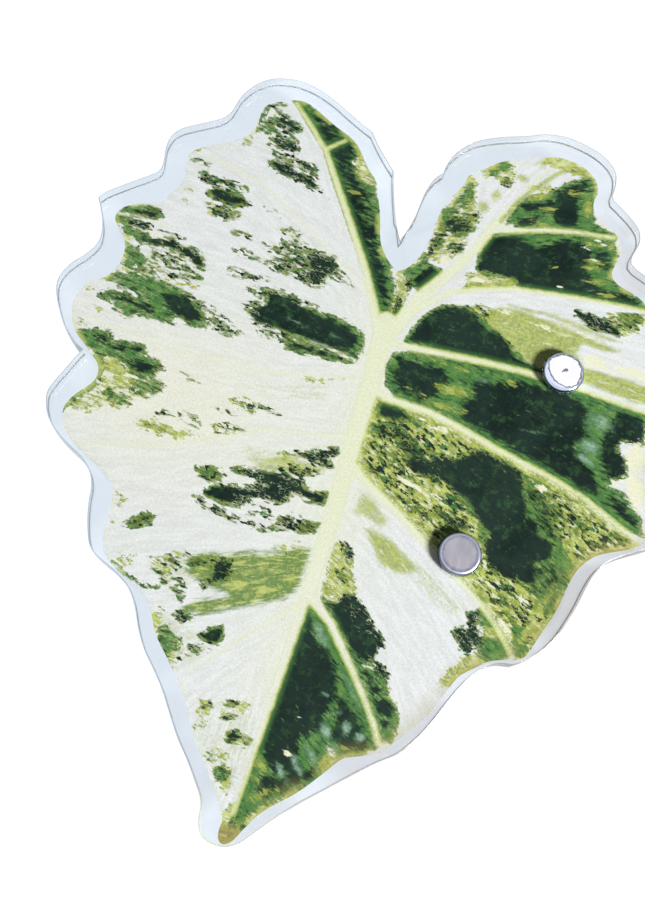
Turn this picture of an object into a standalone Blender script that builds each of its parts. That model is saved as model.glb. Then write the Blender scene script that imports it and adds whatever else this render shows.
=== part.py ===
# Leaf-shaped clear acrylic magnet, lying on its front with the two magnets up
import math

import bmesh
import bpy
from mathutils import Vector

MM = 0.001

# driving sizes, metres
SHEET_THICK = 3.0 * MM
INK_THICK = 0.12 * MM
MAGNET_DIA = 5.0 * MM
MAGNET_TALL = 1.0 * MM
MAGNET_EDGE = 0.25 * MM
GLUE_FILM = 0.10 * MM
GLUE_TALL = 0.50 * MM
GLUE_DIA = 6.1 * MM
GLUE_GAP = 0.05 * MM

# magnet centres, mm from the point where the leaf's main veins meet
UPPER_MAGNET_AT = (22.5, 3.2)
LOWER_MAGNET_AT = (16.1, -22.1)

CURVE_STEPS = 3
INK_STEPS = 2
ROUND_STEPS = 64
EDGE_STEPS = 5

# The laser-cut outline in mm, clockwise from the notch, as smooth runs that meet in sharp corners
CUT_RUNS = [
    [(-1.15, 14.2), (-0.6, 16.0), (-0.2, 18.0), (-0.05, 20.0), (0.2, 22.0), (0.8, 23.8), (1.6, 24.9)],
    [(1.6, 24.9), (1.85, 26.6), (2.6, 28.4), (4.4, 30.5), (7.2, 32.1), (10.5, 33.4), (13.0, 34.5),
     (15.8, 34.9), (19.1, 34.4), (21.4, 33.4), (22.8, 32.0), (23.2, 30.2), (23.15, 28.8), (23.4, 28.1)],
    [(23.4, 28.1), (24.7, 27.3), (26.3, 26.2), (27.5, 25.0), (27.9, 23.5), (27.65, 22.2), (27.4, 21.1),
     (27.5, 20.3)],
    [(27.5, 20.3), (28.3, 19.7), (29.6, 19.2), (31.2, 18.5), (32.7, 17.4), (33.6, 15.8), (33.8, 14.0),
     (33.3, 12.2)],
    [(33.3, 12.2), (34.9, 10.6), (36.8, 8.6), (38.3, 6.0), (39.2, 3.0), (39.2, 0.2), (38.6, -2.4),
     (37.8, -4.9)],
    [(37.8, -4.9), (39.0, -6.7), (40.0, -9.0), (40.2, -11.2), (39.3, -13.2), (37.6, -14.6), (36.0, -15.6),
     (34.4, -16.7), (33.0, -17.9), (32.0, -19.5), (31.4, -21.4), (30.9, -23.6), (30.2, -25.9),
     (29.4, -28.0), (28.2, -30.0), (26.8, -31.5), (25.4, -32.5)],
    [(25.4, -32.5), (23.9, -32.8), (22.6, -33.5), (21.3, -34.9), (20.3, -36.5), (19.4, -38.4),
     (18.6, -40.3), (17.8, -42.1), (16.7, -44.0), (15.3, -45.8), (13.5, -47.2), (11.2, -49.3),
     (8.6, -51.8), (6.3, -54.0), (4.4, -56.2), (2.9, -58.0), (1.6, -59.6), (0.4, -60.5), (-1.0, -60.8),
     (-2.4, -60.5), (-3.3, -59.7), (-3.75, -58.5), (-3.9, -57.4), (-4.3, -56.4), (-5.3, -55.0),
     (-6.9, -53.0), (-8.7, -51.0), (-10.4, -48.7), (-12.0, -46.5), (-13.7, -44.6), (-15.3, -42.9),
     (-16.7, -40.8), (-17.8, -38.7), (-19.1, -37.0), (-20.8, -35.8), (-22.9, -34.9), (-24.3, -34.2),
     (-25.1, -33.4), (-25.7, -32.2), (-26.3, -30.6), (-26.8, -28.7), (-27.1, -27.0), (-27.6, -25.8),
     (-28.4, -24.8), (-29.4, -24.0), (-30.8, -23.3), (-32.3, -22.5), (-33.6, -21.6), (-34.7, -20.5),
     (-35.4, -19.3), (-35.8, -18.1), (-35.8, -17.2), (-35.45, -15.9), (-34.9, -14.5), (-34.4, -13.1),
     (-34.0, -12.1), (-33.7, -11.4)],
    [(-33.7, -11.4), (-34.8, -10.9), (-36.0, -9.9), (-37.0, -8.9), (-37.9, -7.6), (-38.7, -6.3),
     (-39.3, -5.0), (-39.5, -3.8), (-39.3, -2.6), (-38.6, -1.1), (-37.6, 0.2), (-36.9, 1.4),
     (-36.5, 2.6), (-36.6, 3.9), (-37.0, 5.2), (-37.6, 6.4), (-38.5, 8.1)],
    [(-38.5, 8.1), (-37.8, 9.1), (-36.4, 10.4), (-34.9, 11.7), (-33.5, 12.9), (-32.6, 13.8),
     (-32.4, 14.8), (-32.6, 16.2), (-32.8, 17.6), (-32.6, 19.0), (-31.9, 20.2), (-30.4, 21.3),
     (-28.7, 22.4), (-27.3, 23.4), (-26.5, 24.6), (-26.2, 26.0), (-25.9, 27.3), (-25.3, 28.5),
     (-24.4, 29.7), (-23.0, 30.8), (-21.2, 31.45), (-19.2, 31.65), (-17.0, 31.35), (-14.6, 30.5),
     (-12.6, 29.5), (-10.7, 28.55), (-8.6, 27.6)],
    [(-8.6, 27.6), (-7.4, 26.1), (-6.0, 24.6), (-4.5, 23.1)],
    [(-4.5, 23.1), (-3.9, 21.0), (-3.1, 18.6), (-2.2, 16.2), (-1.15, 14.2)],
]

# The edge of the printed leaf in mm, clockwise from its own notch
INK_RUNS = [
    [(-0.3, 10.1), (0.4, 10.5), (1.2, 11.6), (1.8, 13.2), (2.2, 15.0), (2.5, 17.0), (2.6, 19.0),
     (3.0, 20.9), (3.8, 22.5), (4.5, 23.9), (4.7, 25.2), (5.4, 26.1), (6.6, 27.1), (7.8, 28.3),
     (9.2, 29.2), (11.1, 30.2), (12.8, 30.8), (14.4, 31.4), (15.8, 31.7), (17.3, 31.6), (18.7, 31.2),
     (19.9, 30.6), (20.8, 29.6), (21.2, 28.4), (21.0, 27.2), (21.2, 25.9), (22.2, 24.9), (23.6, 24.1),
     (24.9, 23.3), (25.7, 22.2), (25.9, 21.0), (25.6, 19.6), (25.4, 18.2), (25.9, 17.2), (27.2, 16.6),
     (28.8, 16.2), (30.2, 15.5), (31.3, 14.7), (31.5, 13.5), (31.0, 12.2)],
    [(31.0, 12.2), (33.2, 9.2), (34.9, 7.0), (36.1, 4.6), (36.7, 2.2), (36.6, 0.0), (36.0, -2.2),
     (35.4, -4.2), (35.6, -5.8), (36.6, -7.6), (37.5, -9.6), (37.8, -11.4), (37.4, -13.2),
     (36.5, -14.6)],
    [(36.5, -14.6), (35.2, -15.5), (33.8, -16.2), (32.4, -16.9), (31.3, -17.7), (30.5, -18.7),
     (29.9, -19.7), (29.4, -21.2), (29.1, -22.7), (28.8, -24.4), (28.3, -26.2), (27.6, -28.0),
     (27.1, -29.5), (26.6, -30.9), (25.9, -31.7), (24.8, -32.1), (23.5, -32.5), (22.3, -33.1),
     (21.1, -34.2), (19.9, -35.3), (19.2, -36.5), (18.7, -37.8), (18.0, -39.4), (17.4, -40.7),
     (16.6, -42.0), (15.5, -43.4), (14.4, -45.0), (13.5, -46.1), (12.3, -46.8), (10.9, -47.4),
     (9.6, -48.0), (8.9, -48.8), (8.2, -49.8), (7.3, -51.0), (6.3, -52.3), (5.0, -53.7), (3.6, -55.0),
     (2.5, -56.2), (1.7, -57.5), (1.1, -58.6), (0.6, -59.6), (0.0, -60.2), (-0.6, -60.35),
     (-1.1, -59.9), (-1.25, -59.0), (-1.2, -58.1), (-1.6, -57.2), (-2.6, -55.8), (-3.9, -54.1),
     (-5.2, -52.5), (-6.5, -51.0), (-7.6, -49.4), (-8.5, -47.8), (-9.7, -46.2), (-11.0, -44.7),
     (-12.2, -43.4), (-13.5, -42.1), (-14.6, -40.9), (-15.3, -39.7), (-16.0, -38.5), (-16.9, -37.5),
     (-18.2, -36.6), (-19.8, -35.9), (-21.3, -35.2), (-22.6, -34.4), (-23.4, -33.4), (-23.8, -32.2),
     (-23.9, -31.2), (-24.1, -29.6), (-24.2, -28.2), (-24.5, -26.9), (-25.2, -25.8), (-26.4, -24.9),
     (-27.8, -24.1), (-29.2, -23.5), (-30.7, -22.6), (-32.2, -21.5), (-33.0, -20.4), (-33.3, -19.1),
     (-33.1, -18.0), (-32.5, -16.9), (-31.7, -15.8), (-31.1, -14.9), (-30.9, -14.0), (-31.1, -13.0),
     (-31.7, -12.2), (-32.8, -11.4), (-33.9, -10.5), (-35.0, -9.7), (-35.8, -8.7), (-36.4, -7.5),
     (-36.7, -6.2), (-36.6, -5.0), (-36.1, -3.5), (-35.2, -2.5), (-34.2, -1.9), (-33.6, -0.9),
     (-33.1, 0.3), (-33.0, 1.6), (-33.2, 2.8), (-33.7, 3.8), (-34.7, 4.9), (-35.5, 5.8), (-35.6, 6.7),
     (-35.1, 7.6), (-34.1, 8.4), (-32.7, 9.1), (-31.3, 9.6), (-30.5, 10.4), (-30.1, 11.4),
     (-29.5, 12.4), (-29.3, 13.6), (-29.5, 15.0), (-29.7, 16.2), (-29.6, 17.2), (-28.9, 18.2),
     (-27.7, 19.0), (-26.1, 19.9), (-24.8, 20.8), (-23.7, 21.8), (-23.1, 22.9), (-22.8, 24.3),
     (-22.8, 25.7), (-22.4, 26.9), (-21.5, 27.6), (-20.2, 28.2), (-19.2, 28.7), (-18.0, 28.85),
     (-16.7, 28.5), (-15.1, 27.7), (-13.1, 26.7), (-11.3, 26.0), (-9.9, 25.1), (-8.7, 23.7),
     (-7.6, 22.3), (-6.5, 21.3), (-5.8, 20.2), (-5.4, 19.0), (-4.7, 17.3), (-4.1, 15.4), (-3.6, 13.6),
     (-2.9, 12.3), (-1.9, 11.1), (-1.0, 10.35), (-0.3, 10.1)],
]


def clear_scene():
    """Remove whatever the file holds."""
    for obj in list(bpy.data.objects):
        bpy.data.objects.remove(obj, do_unlink=True)


def smooth_run(points, steps):
    """Points along a smooth curve through one run, without its last point."""
    pts = [Vector(p) for p in points]
    first = pts[0] * 2 - pts[1]
    last = pts[-1] * 2 - pts[-2]
    pts = [first] + pts + [last]
    out = []
    for k in range(1, len(pts) - 2):
        a, b, c, d = pts[k - 1], pts[k], pts[k + 1], pts[k + 2]
        for s in range(steps):
            t = s / steps
            out.append(0.5 * (2 * b + (c - a) * t + (2 * a - 5 * b + 4 * c - d) * t * t
                              + (3 * b - a - 3 * c + d) * t ** 3))
    return out


def outline(runs, steps):
    """Closed outline in mm from smooth runs that meet in corners."""
    points = []
    for run in runs:
        points.extend(smooth_run(run, steps))
    return points


def cut_centre():
    """Middle of the cut outline's box in mm."""
    points = outline(CUT_RUNS, CURVE_STEPS)
    xs = [p.x for p in points]
    ys = [p.y for p in points]
    return Vector(((min(xs) + max(xs)) / 2, (min(ys) + max(ys)) / 2))


def finish_object(name, bm, material):
    """Turn a bmesh into a named object with its material."""
    bmesh.ops.recalc_face_normals(bm, faces=bm.faces[:])
    mesh = bpy.data.meshes.new(name)
    bm.to_mesh(mesh)
    bm.free()
    obj = bpy.data.objects.new(name, mesh)
    obj.data.materials.append(material)
    bpy.context.collection.objects.link(obj)
    return obj


def flat_solid(name, runs, steps, bottom, thick, material):
    """Sheet with the given outline, between two heights."""
    centre = cut_centre()
    bm = bmesh.new()
    ring = [bm.verts.new(((p.x - centre.x) * MM, (p.y - centre.y) * MM, bottom)) for p in outline(runs, steps)]
    face = bm.faces.new(ring)
    grown = bmesh.ops.extrude_face_region(bm, geom=[face])
    lifted = [g for g in grown["geom"] if isinstance(g, bmesh.types.BMVert)]
    bmesh.ops.translate(bm, verts=lifted, vec=(0.0, 0.0, thick))
    bmesh.ops.triangulate(bm, faces=[f for f in bm.faces if len(f.verts) > 4])
    return finish_object(name, bm, material)


def turned_solid(name, profile, at, material):
    """Solid turned about a vertical axis; the profile runs from axis to axis."""
    centre = cut_centre()
    x0 = (at[0] - centre.x) * MM
    y0 = (at[1] - centre.y) * MM
    bm = bmesh.new()
    low = bm.verts.new((x0, y0, profile[0][1]))
    high = bm.verts.new((x0, y0, profile[-1][1]))
    rings = []
    for radius, z in profile[1:-1]:
        ring = []
        for k in range(ROUND_STEPS):
            turn = 2 * math.pi * k / ROUND_STEPS
            ring.append(bm.verts.new((x0 + radius * math.cos(turn), y0 + radius * math.sin(turn), z)))
        rings.append(ring)
    for k in range(ROUND_STEPS):
        n = (k + 1) % ROUND_STEPS
        bm.faces.new((low, rings[0][n], rings[0][k]))
        bm.faces.new((high, rings[-1][k], rings[-1][n]))
        for lower, upper in zip(rings, rings[1:]):
            bm.faces.new((lower[k], lower[n], upper[n], upper[k]))
    return finish_object(name, bm, material)


def magnet(name, at, material):
    """Disc magnet with rounded rims, seated on its glue film."""
    z0 = SHEET_THICK + INK_THICK + GLUE_FILM
    z1 = z0 + MAGNET_TALL
    r = MAGNET_DIA / 2
    e = MAGNET_EDGE
    profile = [(0.0, z0)]
    for k in range(EDGE_STEPS + 1):
        a = math.pi / 2 * k / EDGE_STEPS
        profile.append((r - e + e * math.sin(a), z0 + e - e * math.cos(a)))
    for k in range(EDGE_STEPS + 1):
        a = math.pi / 2 * k / EDGE_STEPS
        profile.append((r - e + e * math.cos(a), z1 - e + e * math.sin(a)))
    profile.append((0.0, z1))
    return turned_solid(name, profile, at, material)


def glue_bead(name, at, material):
    """Clear glue: a film under the magnet and a low bead around it."""
    z0 = SHEET_THICK + INK_THICK
    inner = MAGNET_DIA / 2 + GLUE_GAP
    outer = GLUE_DIA / 2
    span = outer - inner
    profile = [
        (0.0, z0),
        (outer - 0.04 * MM, z0),
        (outer, z0 + 0.05 * MM),
        (outer - 0.30 * span, z0 + 0.20 * MM),
        (inner + 0.30 * span, z0 + 0.36 * MM),
        (inner + 0.08 * span, z0 + GLUE_TALL),
        (inner, z0 + GLUE_TALL),
        (inner, z0 + GLUE_FILM),
        (0.0, z0 + GLUE_FILM),
    ]
    return turned_solid(name, profile, at, material)


def finish(name, colour, roughness, metallic, transmission):
    """Principled material with the part's own colour and shine."""
    material = bpy.data.materials.new(name)
    material.use_nodes = True
    shader = material.node_tree.nodes["Principled BSDF"]
    shader.inputs["Base Color"].default_value = (*colour, 1.0)
    shader.inputs["Roughness"].default_value = roughness
    shader.inputs["Metallic"].default_value = metallic
    shader.inputs["Transmission Weight"].default_value = transmission
    material.diffuse_color = (*colour, 1.0)
    return material


def main():
    """Build the magnet from its six pieces."""
    clear_scene()
    acrylic = finish("clear_acrylic", (0.90, 0.93, 0.98), 0.04, 0.0, 1.0)
    ink = finish("leaf_ink", (0.30, 0.42, 0.20), 0.55, 0.0, 0.0)
    nickel = finish("nickel_plate", (0.72, 0.72, 0.76), 0.15, 1.0, 0.0)
    glue = finish("clear_glue", (0.93, 0.94, 0.92), 0.06, 0.0, 1.0)
    flat_solid("acrylic_plate", CUT_RUNS, CURVE_STEPS, 0.0, SHEET_THICK, acrylic)
    flat_solid("leaf_print", INK_RUNS, INK_STEPS, SHEET_THICK, INK_THICK, ink)
    glue_bead("glue_upper", UPPER_MAGNET_AT, glue)
    glue_bead("glue_lower", LOWER_MAGNET_AT, glue)
    magnet("magnet_upper", UPPER_MAGNET_AT, nickel)
    magnet("magnet_lower", LOWER_MAGNET_AT, nickel)


if __name__ == "__main__":
    main()
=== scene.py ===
"""Leaf-shaped clear acrylic magnet, shown back side up on a pale table."""

import math

import bpy
import numpy as np
from bpy.props import FloatProperty, FloatVectorProperty, PointerProperty
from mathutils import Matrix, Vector


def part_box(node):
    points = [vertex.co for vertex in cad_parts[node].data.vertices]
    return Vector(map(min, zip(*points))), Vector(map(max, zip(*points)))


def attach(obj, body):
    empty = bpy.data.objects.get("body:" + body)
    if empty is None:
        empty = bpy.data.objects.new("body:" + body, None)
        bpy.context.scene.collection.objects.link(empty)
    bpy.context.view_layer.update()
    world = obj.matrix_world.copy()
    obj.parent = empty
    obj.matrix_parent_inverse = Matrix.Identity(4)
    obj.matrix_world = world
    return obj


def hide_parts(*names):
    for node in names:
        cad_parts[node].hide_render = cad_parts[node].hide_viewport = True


bl_info = {
    "name": "Leaf Acrylic Magnet",
    "version": (1, 0, 0),
    "blender": (4, 5, 0),
    "location": "View3D > Sidebar > Leaf Magnet",
    "description": "Builds a printed leaf-shaped acrylic magnet piece by piece",
    "category": "Object",
}

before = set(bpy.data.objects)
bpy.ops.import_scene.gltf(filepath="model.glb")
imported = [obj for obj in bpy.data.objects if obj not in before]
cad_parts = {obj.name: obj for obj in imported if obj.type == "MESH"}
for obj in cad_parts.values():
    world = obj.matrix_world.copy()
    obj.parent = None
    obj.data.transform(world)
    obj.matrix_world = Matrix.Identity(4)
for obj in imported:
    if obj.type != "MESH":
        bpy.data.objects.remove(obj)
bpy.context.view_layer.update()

# Lengths in metres
MM = 0.001
MERGE = 0.000002
TOUCH = 0.000001  # closer than this is in one plane
FLAT_ANGLE = 0.05  # degrees between faces that count as one
SINK = 0.00001  # how far the print's slab reaches past the print, before it is trimmed
GLUE_SINK = 0.00002  # how far the glue reaches into the print

# How far a face's normal points up or down
LEVEL, FLAT, UPRIGHT = 0.999, 0.95, 0.2

# A magnet's face: distances from its middle
BEAD_START = 0.0026
FACE_INSET = 0.00012  # from the rounded edge
RAGGED = 0.0007  # how far the outlines of the painted reflections and the dark spots wander
HAIR = 0.00002
# painted reflection: a lavender ring on the plain magnet
REFLECTION_RING = (0.0016, 0.0023)
ROUGH_RING = (0.0021, 0.0023)
# painted shade: a dark line round the edge
DARK_LINE_IN, DARK_LINE_OUT = (0.00236, 0.00243), (0.002497, 0.00248)
WINDOW_LINE = (0.00013, 0.00004)
WINDOW_REACH, WINDOW_SPAN = 0.00214, 0.0027  # the outline of the painted reflection of a window, as two circles' radii
WINDOW_CORNER = (0.0006, 0.0009, 0)  # the second circle's middle
# dark spots on the upper magnet's face: place from its middle and reach
DARK_FACE_SPOTS = ((0.00018, 0.00028, 0.00024), (-0.00002, 0.00014, 0.00020), (-0.00020, -0.00004, 0.00012))

# Places on the sheet where a tint, a painted shade or a painted light begins and where it is full
FAR_SIDE = (-0.02, 0.015)  # the cut wall's painted shade at the right, across
CREAM_TIP = (-0.0405, -0.0440)  # the cut wall at the leaf's tip, painted with a reflection of the print, along
SHADED_TIP = (-0.0447, -0.0453)  # the print's tip, painted shade, along
RIB_TURN = (-0.006, -0.030)  # the veins' paler lower part, along
RIGHT_OF, BELOW = (0.0, 0.004), (0.012, 0.004)  # the print's lower right border, painted shade
WARM_SIDE = (-0.02, 0.035)  # the table's painted glow, across

# Stage
TABLE_REACH, TABLE_DROP = 1.6, 0.00002
BARE_TABLE = 1.05  # brightness where the camera sees it bare
CARD_REACH, CARD_PLACE = 0.042, (0.051, 0.057, 0.30)
TOWARD_LAMP = (0.80, -0.30, 0.52)
LAMP_COLOUR = (1.0, 0.98, 0.95)
SKY_LOW, SKY_TOP, SKY_TOP_FROM = (0.30, 0.34, 0.46, 1), (1.0, 1.0, 1.0, 1), 0.88
SKY_GREYS = ((0.4, 0.50), (0.8, 0.54))  # height and brightness
CAMERA_PLACE = (-0.000525, -0.03944, 0.1400)
CAMERA_TURN = (14.954, -3.478, 16.572)  # degrees from straight down, about X, then Y, then Z
CAMERA_SEES = (0.005, 20)
CAMERA_REACH, PHOTO_HEIGHT = 1200, 903  # the lens's length and the photograph's height, in its pixels
SENSOR = 36

# Finishes
ACRYLIC_IOR, GLUE_IOR, POLISHED = 1.49, 1.47, 0.01
# painted reflection: the print's cream in the cut wall at the tip, and how clear the wall stays there
TIP_REFLECTION, TIP_CLARITY = (0.76, 0.74, 0.58), 0.5
GLUE_TINT, GLUE_LIGHT = (0.94, 0.95, 0.92), (0.93, 0.94, 0.92)
# painted light: bright patches in the table's glow
GLOW_PATCHES = (0.87, 0.94, 1.0)
PLAIN_RIM = 0.62  # how bright the plain magnet's painted rim reflection is, against the other's
BEAD_WOBBLE = 0.02  # share of the bead's reach
INK = 0.57  # how much of the light the brightest ink sends back, against the photographed brightness

# The print, in mm
ZERO_MM = Vector((0.3722, -12.95))  # middle of the sheet, from the point where the veins meet
FAR = 1e9
SHORTEST_WALL = 0.02
RIB_FADE = 3.0  # how fast the midrib's tint fades
CHIP_SPLIT = 0.6  # the chips lean one way left of this, in mm
CHIP_VEINS = (6, 8)  # and another way above, between and below these bold veins
CHIP_LEANS = (-8.0, 16.0, -10.0, -24.0)  # degrees: left, above, between and below
SEED_STEP = 3.7  # keeps the patterns of neighbouring veins apart
FLECK_FALL = 1.4  # how sharply a fleck ends
CUTTER_HEIGHT = 8  # times the print's thickness
FEWEST_POINTS = 1000


def paint(red, green, blue, strength=1.0):
    """Linear colour from 0 to 255 screen values."""
    def channel(value):
        v = value / 255
        return (v / 12.92 if v <= 0.04045 else ((v + 0.055) / 1.055) ** 2.4) * strength
    return (channel(red), channel(green), channel(blue))


def size_prop(name, description, default, low, high):
    """A length that the user can change."""
    return FloatProperty(name=name, description=description, default=default, min=low, max=high, unit="LENGTH",
                         precision=5)


def share_prop(name, description, default):
    """A share from 0 to 1 that the user can change."""
    return FloatProperty(name=name, description=description, default=default, min=0.0, max=1.0,
                         subtype="FACTOR")


def colour_prop(name, description, default):
    """A colour that the user can change."""
    return FloatVectorProperty(name=name, description=description, default=default, size=3, subtype="COLOR",
                               min=0, max=1)


def ink_prop(name, where, *screen):
    """An ink that the user can change, from its 0 to 255 screen values."""
    return colour_prop(name, "Ink " + where, paint(*screen, INK))


# Veins that stand out: points in mm from where they meet, width at the start and at the end
BOLD_VEINS = [
    ([(0.1, 3.2), (0.2, 1.0), (0.5, -5), (0.6, -14), (0.7, -24), (0.6, -31)], 2.3, 1.5),
    ([(0.6, -31), (0.4, -35), (0.2, -42), (-0.1, -50), (-0.3, -57)], 1.0, 0.3),
    ([(-0.5, 1.5), (-1.3, 3.5), (-4, 8.5), (-7.5, 14), (-10.5, 18.5), (-13.5, 23), (-16.5, 26),
     (-19, 28.3)], 1.0, 0.35),
    ([(0.6, 1.5), (1.5, 3), (3.5, 8), (6, 12), (8.2, 16), (9.5, 19.5), (11, 23)], 1.7, 0.8),
    ([(11, 23), (13, 27.5), (16.2, 31.5)], 0.3, 0.15),
    ([(8.9, 18.9), (12, 19.8), (16, 21.2), (20, 22.2), (24.5, 22.9)], 0.55, 0.3),
    ([(1.6, 3.6), (2.5, 5), (6.5, 9.3), (10, 10.8), (14, 12.2), (20, 13.2), (25, 13.9),
     (30.5, 14.4)], 0.7, 0.3),
    ([(1, 0.6), (3, 0.8), (8, 1.3), (13, 1.8), (18, 2.1), (25, 2.1), (33.5, 1.6), (36.4, 1.2)], 0.7, 0.4),
    ([(0.8, -5.2), (2.5, -6.2), (8, -6.4), (12, -7.1), (16, -8.1), (20, -9), (25, -10), (29, -11.2),
     (32, -12.5), (35, -13.8), (36.8, -14.6)], 0.85, 0.3),
    ([(0.8, -15), (3, -16.8), (8, -19.5), (12, -22), (16, -24.5), (19, -26.3), (22, -28.5), (24, -30.6),
     (25.2, -31.9)], 0.95, 0.3),
    ([(0.8, -31.4), (1, -32), (4, -34), (6, -36.3), (8, -38.6), (10, -41), (11.8, -43.4),
     (13, -45.5)], 0.85, 0.35),
    ([(-13.5, 23.3), (-11.5, 25.2)], 0.3, 0.15),
]

# Veins that hardly show in the cream half
FAINT_VEINS = [
    ([(-2, -2.9), (-5.8, -2.2), (-8, -2.1)], 0.25, 0.1),
    ([(-29, 6.9), (-33, 7.0), (-35.8, 6.7)], 0.3, 0.2),
    ([(-1, -4.9), (-12, -7.5), (-24, -8.2), (-34.5, -7.2)], 0.5, 0.3),
    ([(-0.5, -12.5), (-10, -14.4), (-20, -19.5), (-30, -22.5)], 0.5, 0.3),
    ([(0, -33), (-5, -38.5), (-10, -44)], 0.5, 0.3),
    ([(-3.4, 6.5), (-12, 11.8), (-20, 16.2), (-28.5, 17.8)], 0.5, 0.3),
]

# Veins printed in lime
LIME_VEINS = [
    ([(10.3, 20.6), (11.4, 23.4), (12.6, 25.4), (14.8, 28.3), (17.4, 31.4)], 0.4, 0.35),
]

# Lines that the soft streaks follow where no vein leads them
STREAK_LINES = [
    [(17, -8.5), (22, -14), (27, -21)],
    [(3, -9.5), (10, -11.5), (18, -16)],
    [(2, -22), (8, -26), (15, -32)],
    [(-24, -3), (-12, -2), (-2, -1)],
    [(-8, 23), (-6, 18), (-3, 11)],
    [(5, 26), (5, 20), (3, 12)],
    [(-0.4, -27.6), (-6, -29), (-13.5, -31.6)],
    [(-0.4, -30.6), (-6, -33), (-13.5, -36.6)],
]
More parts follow.
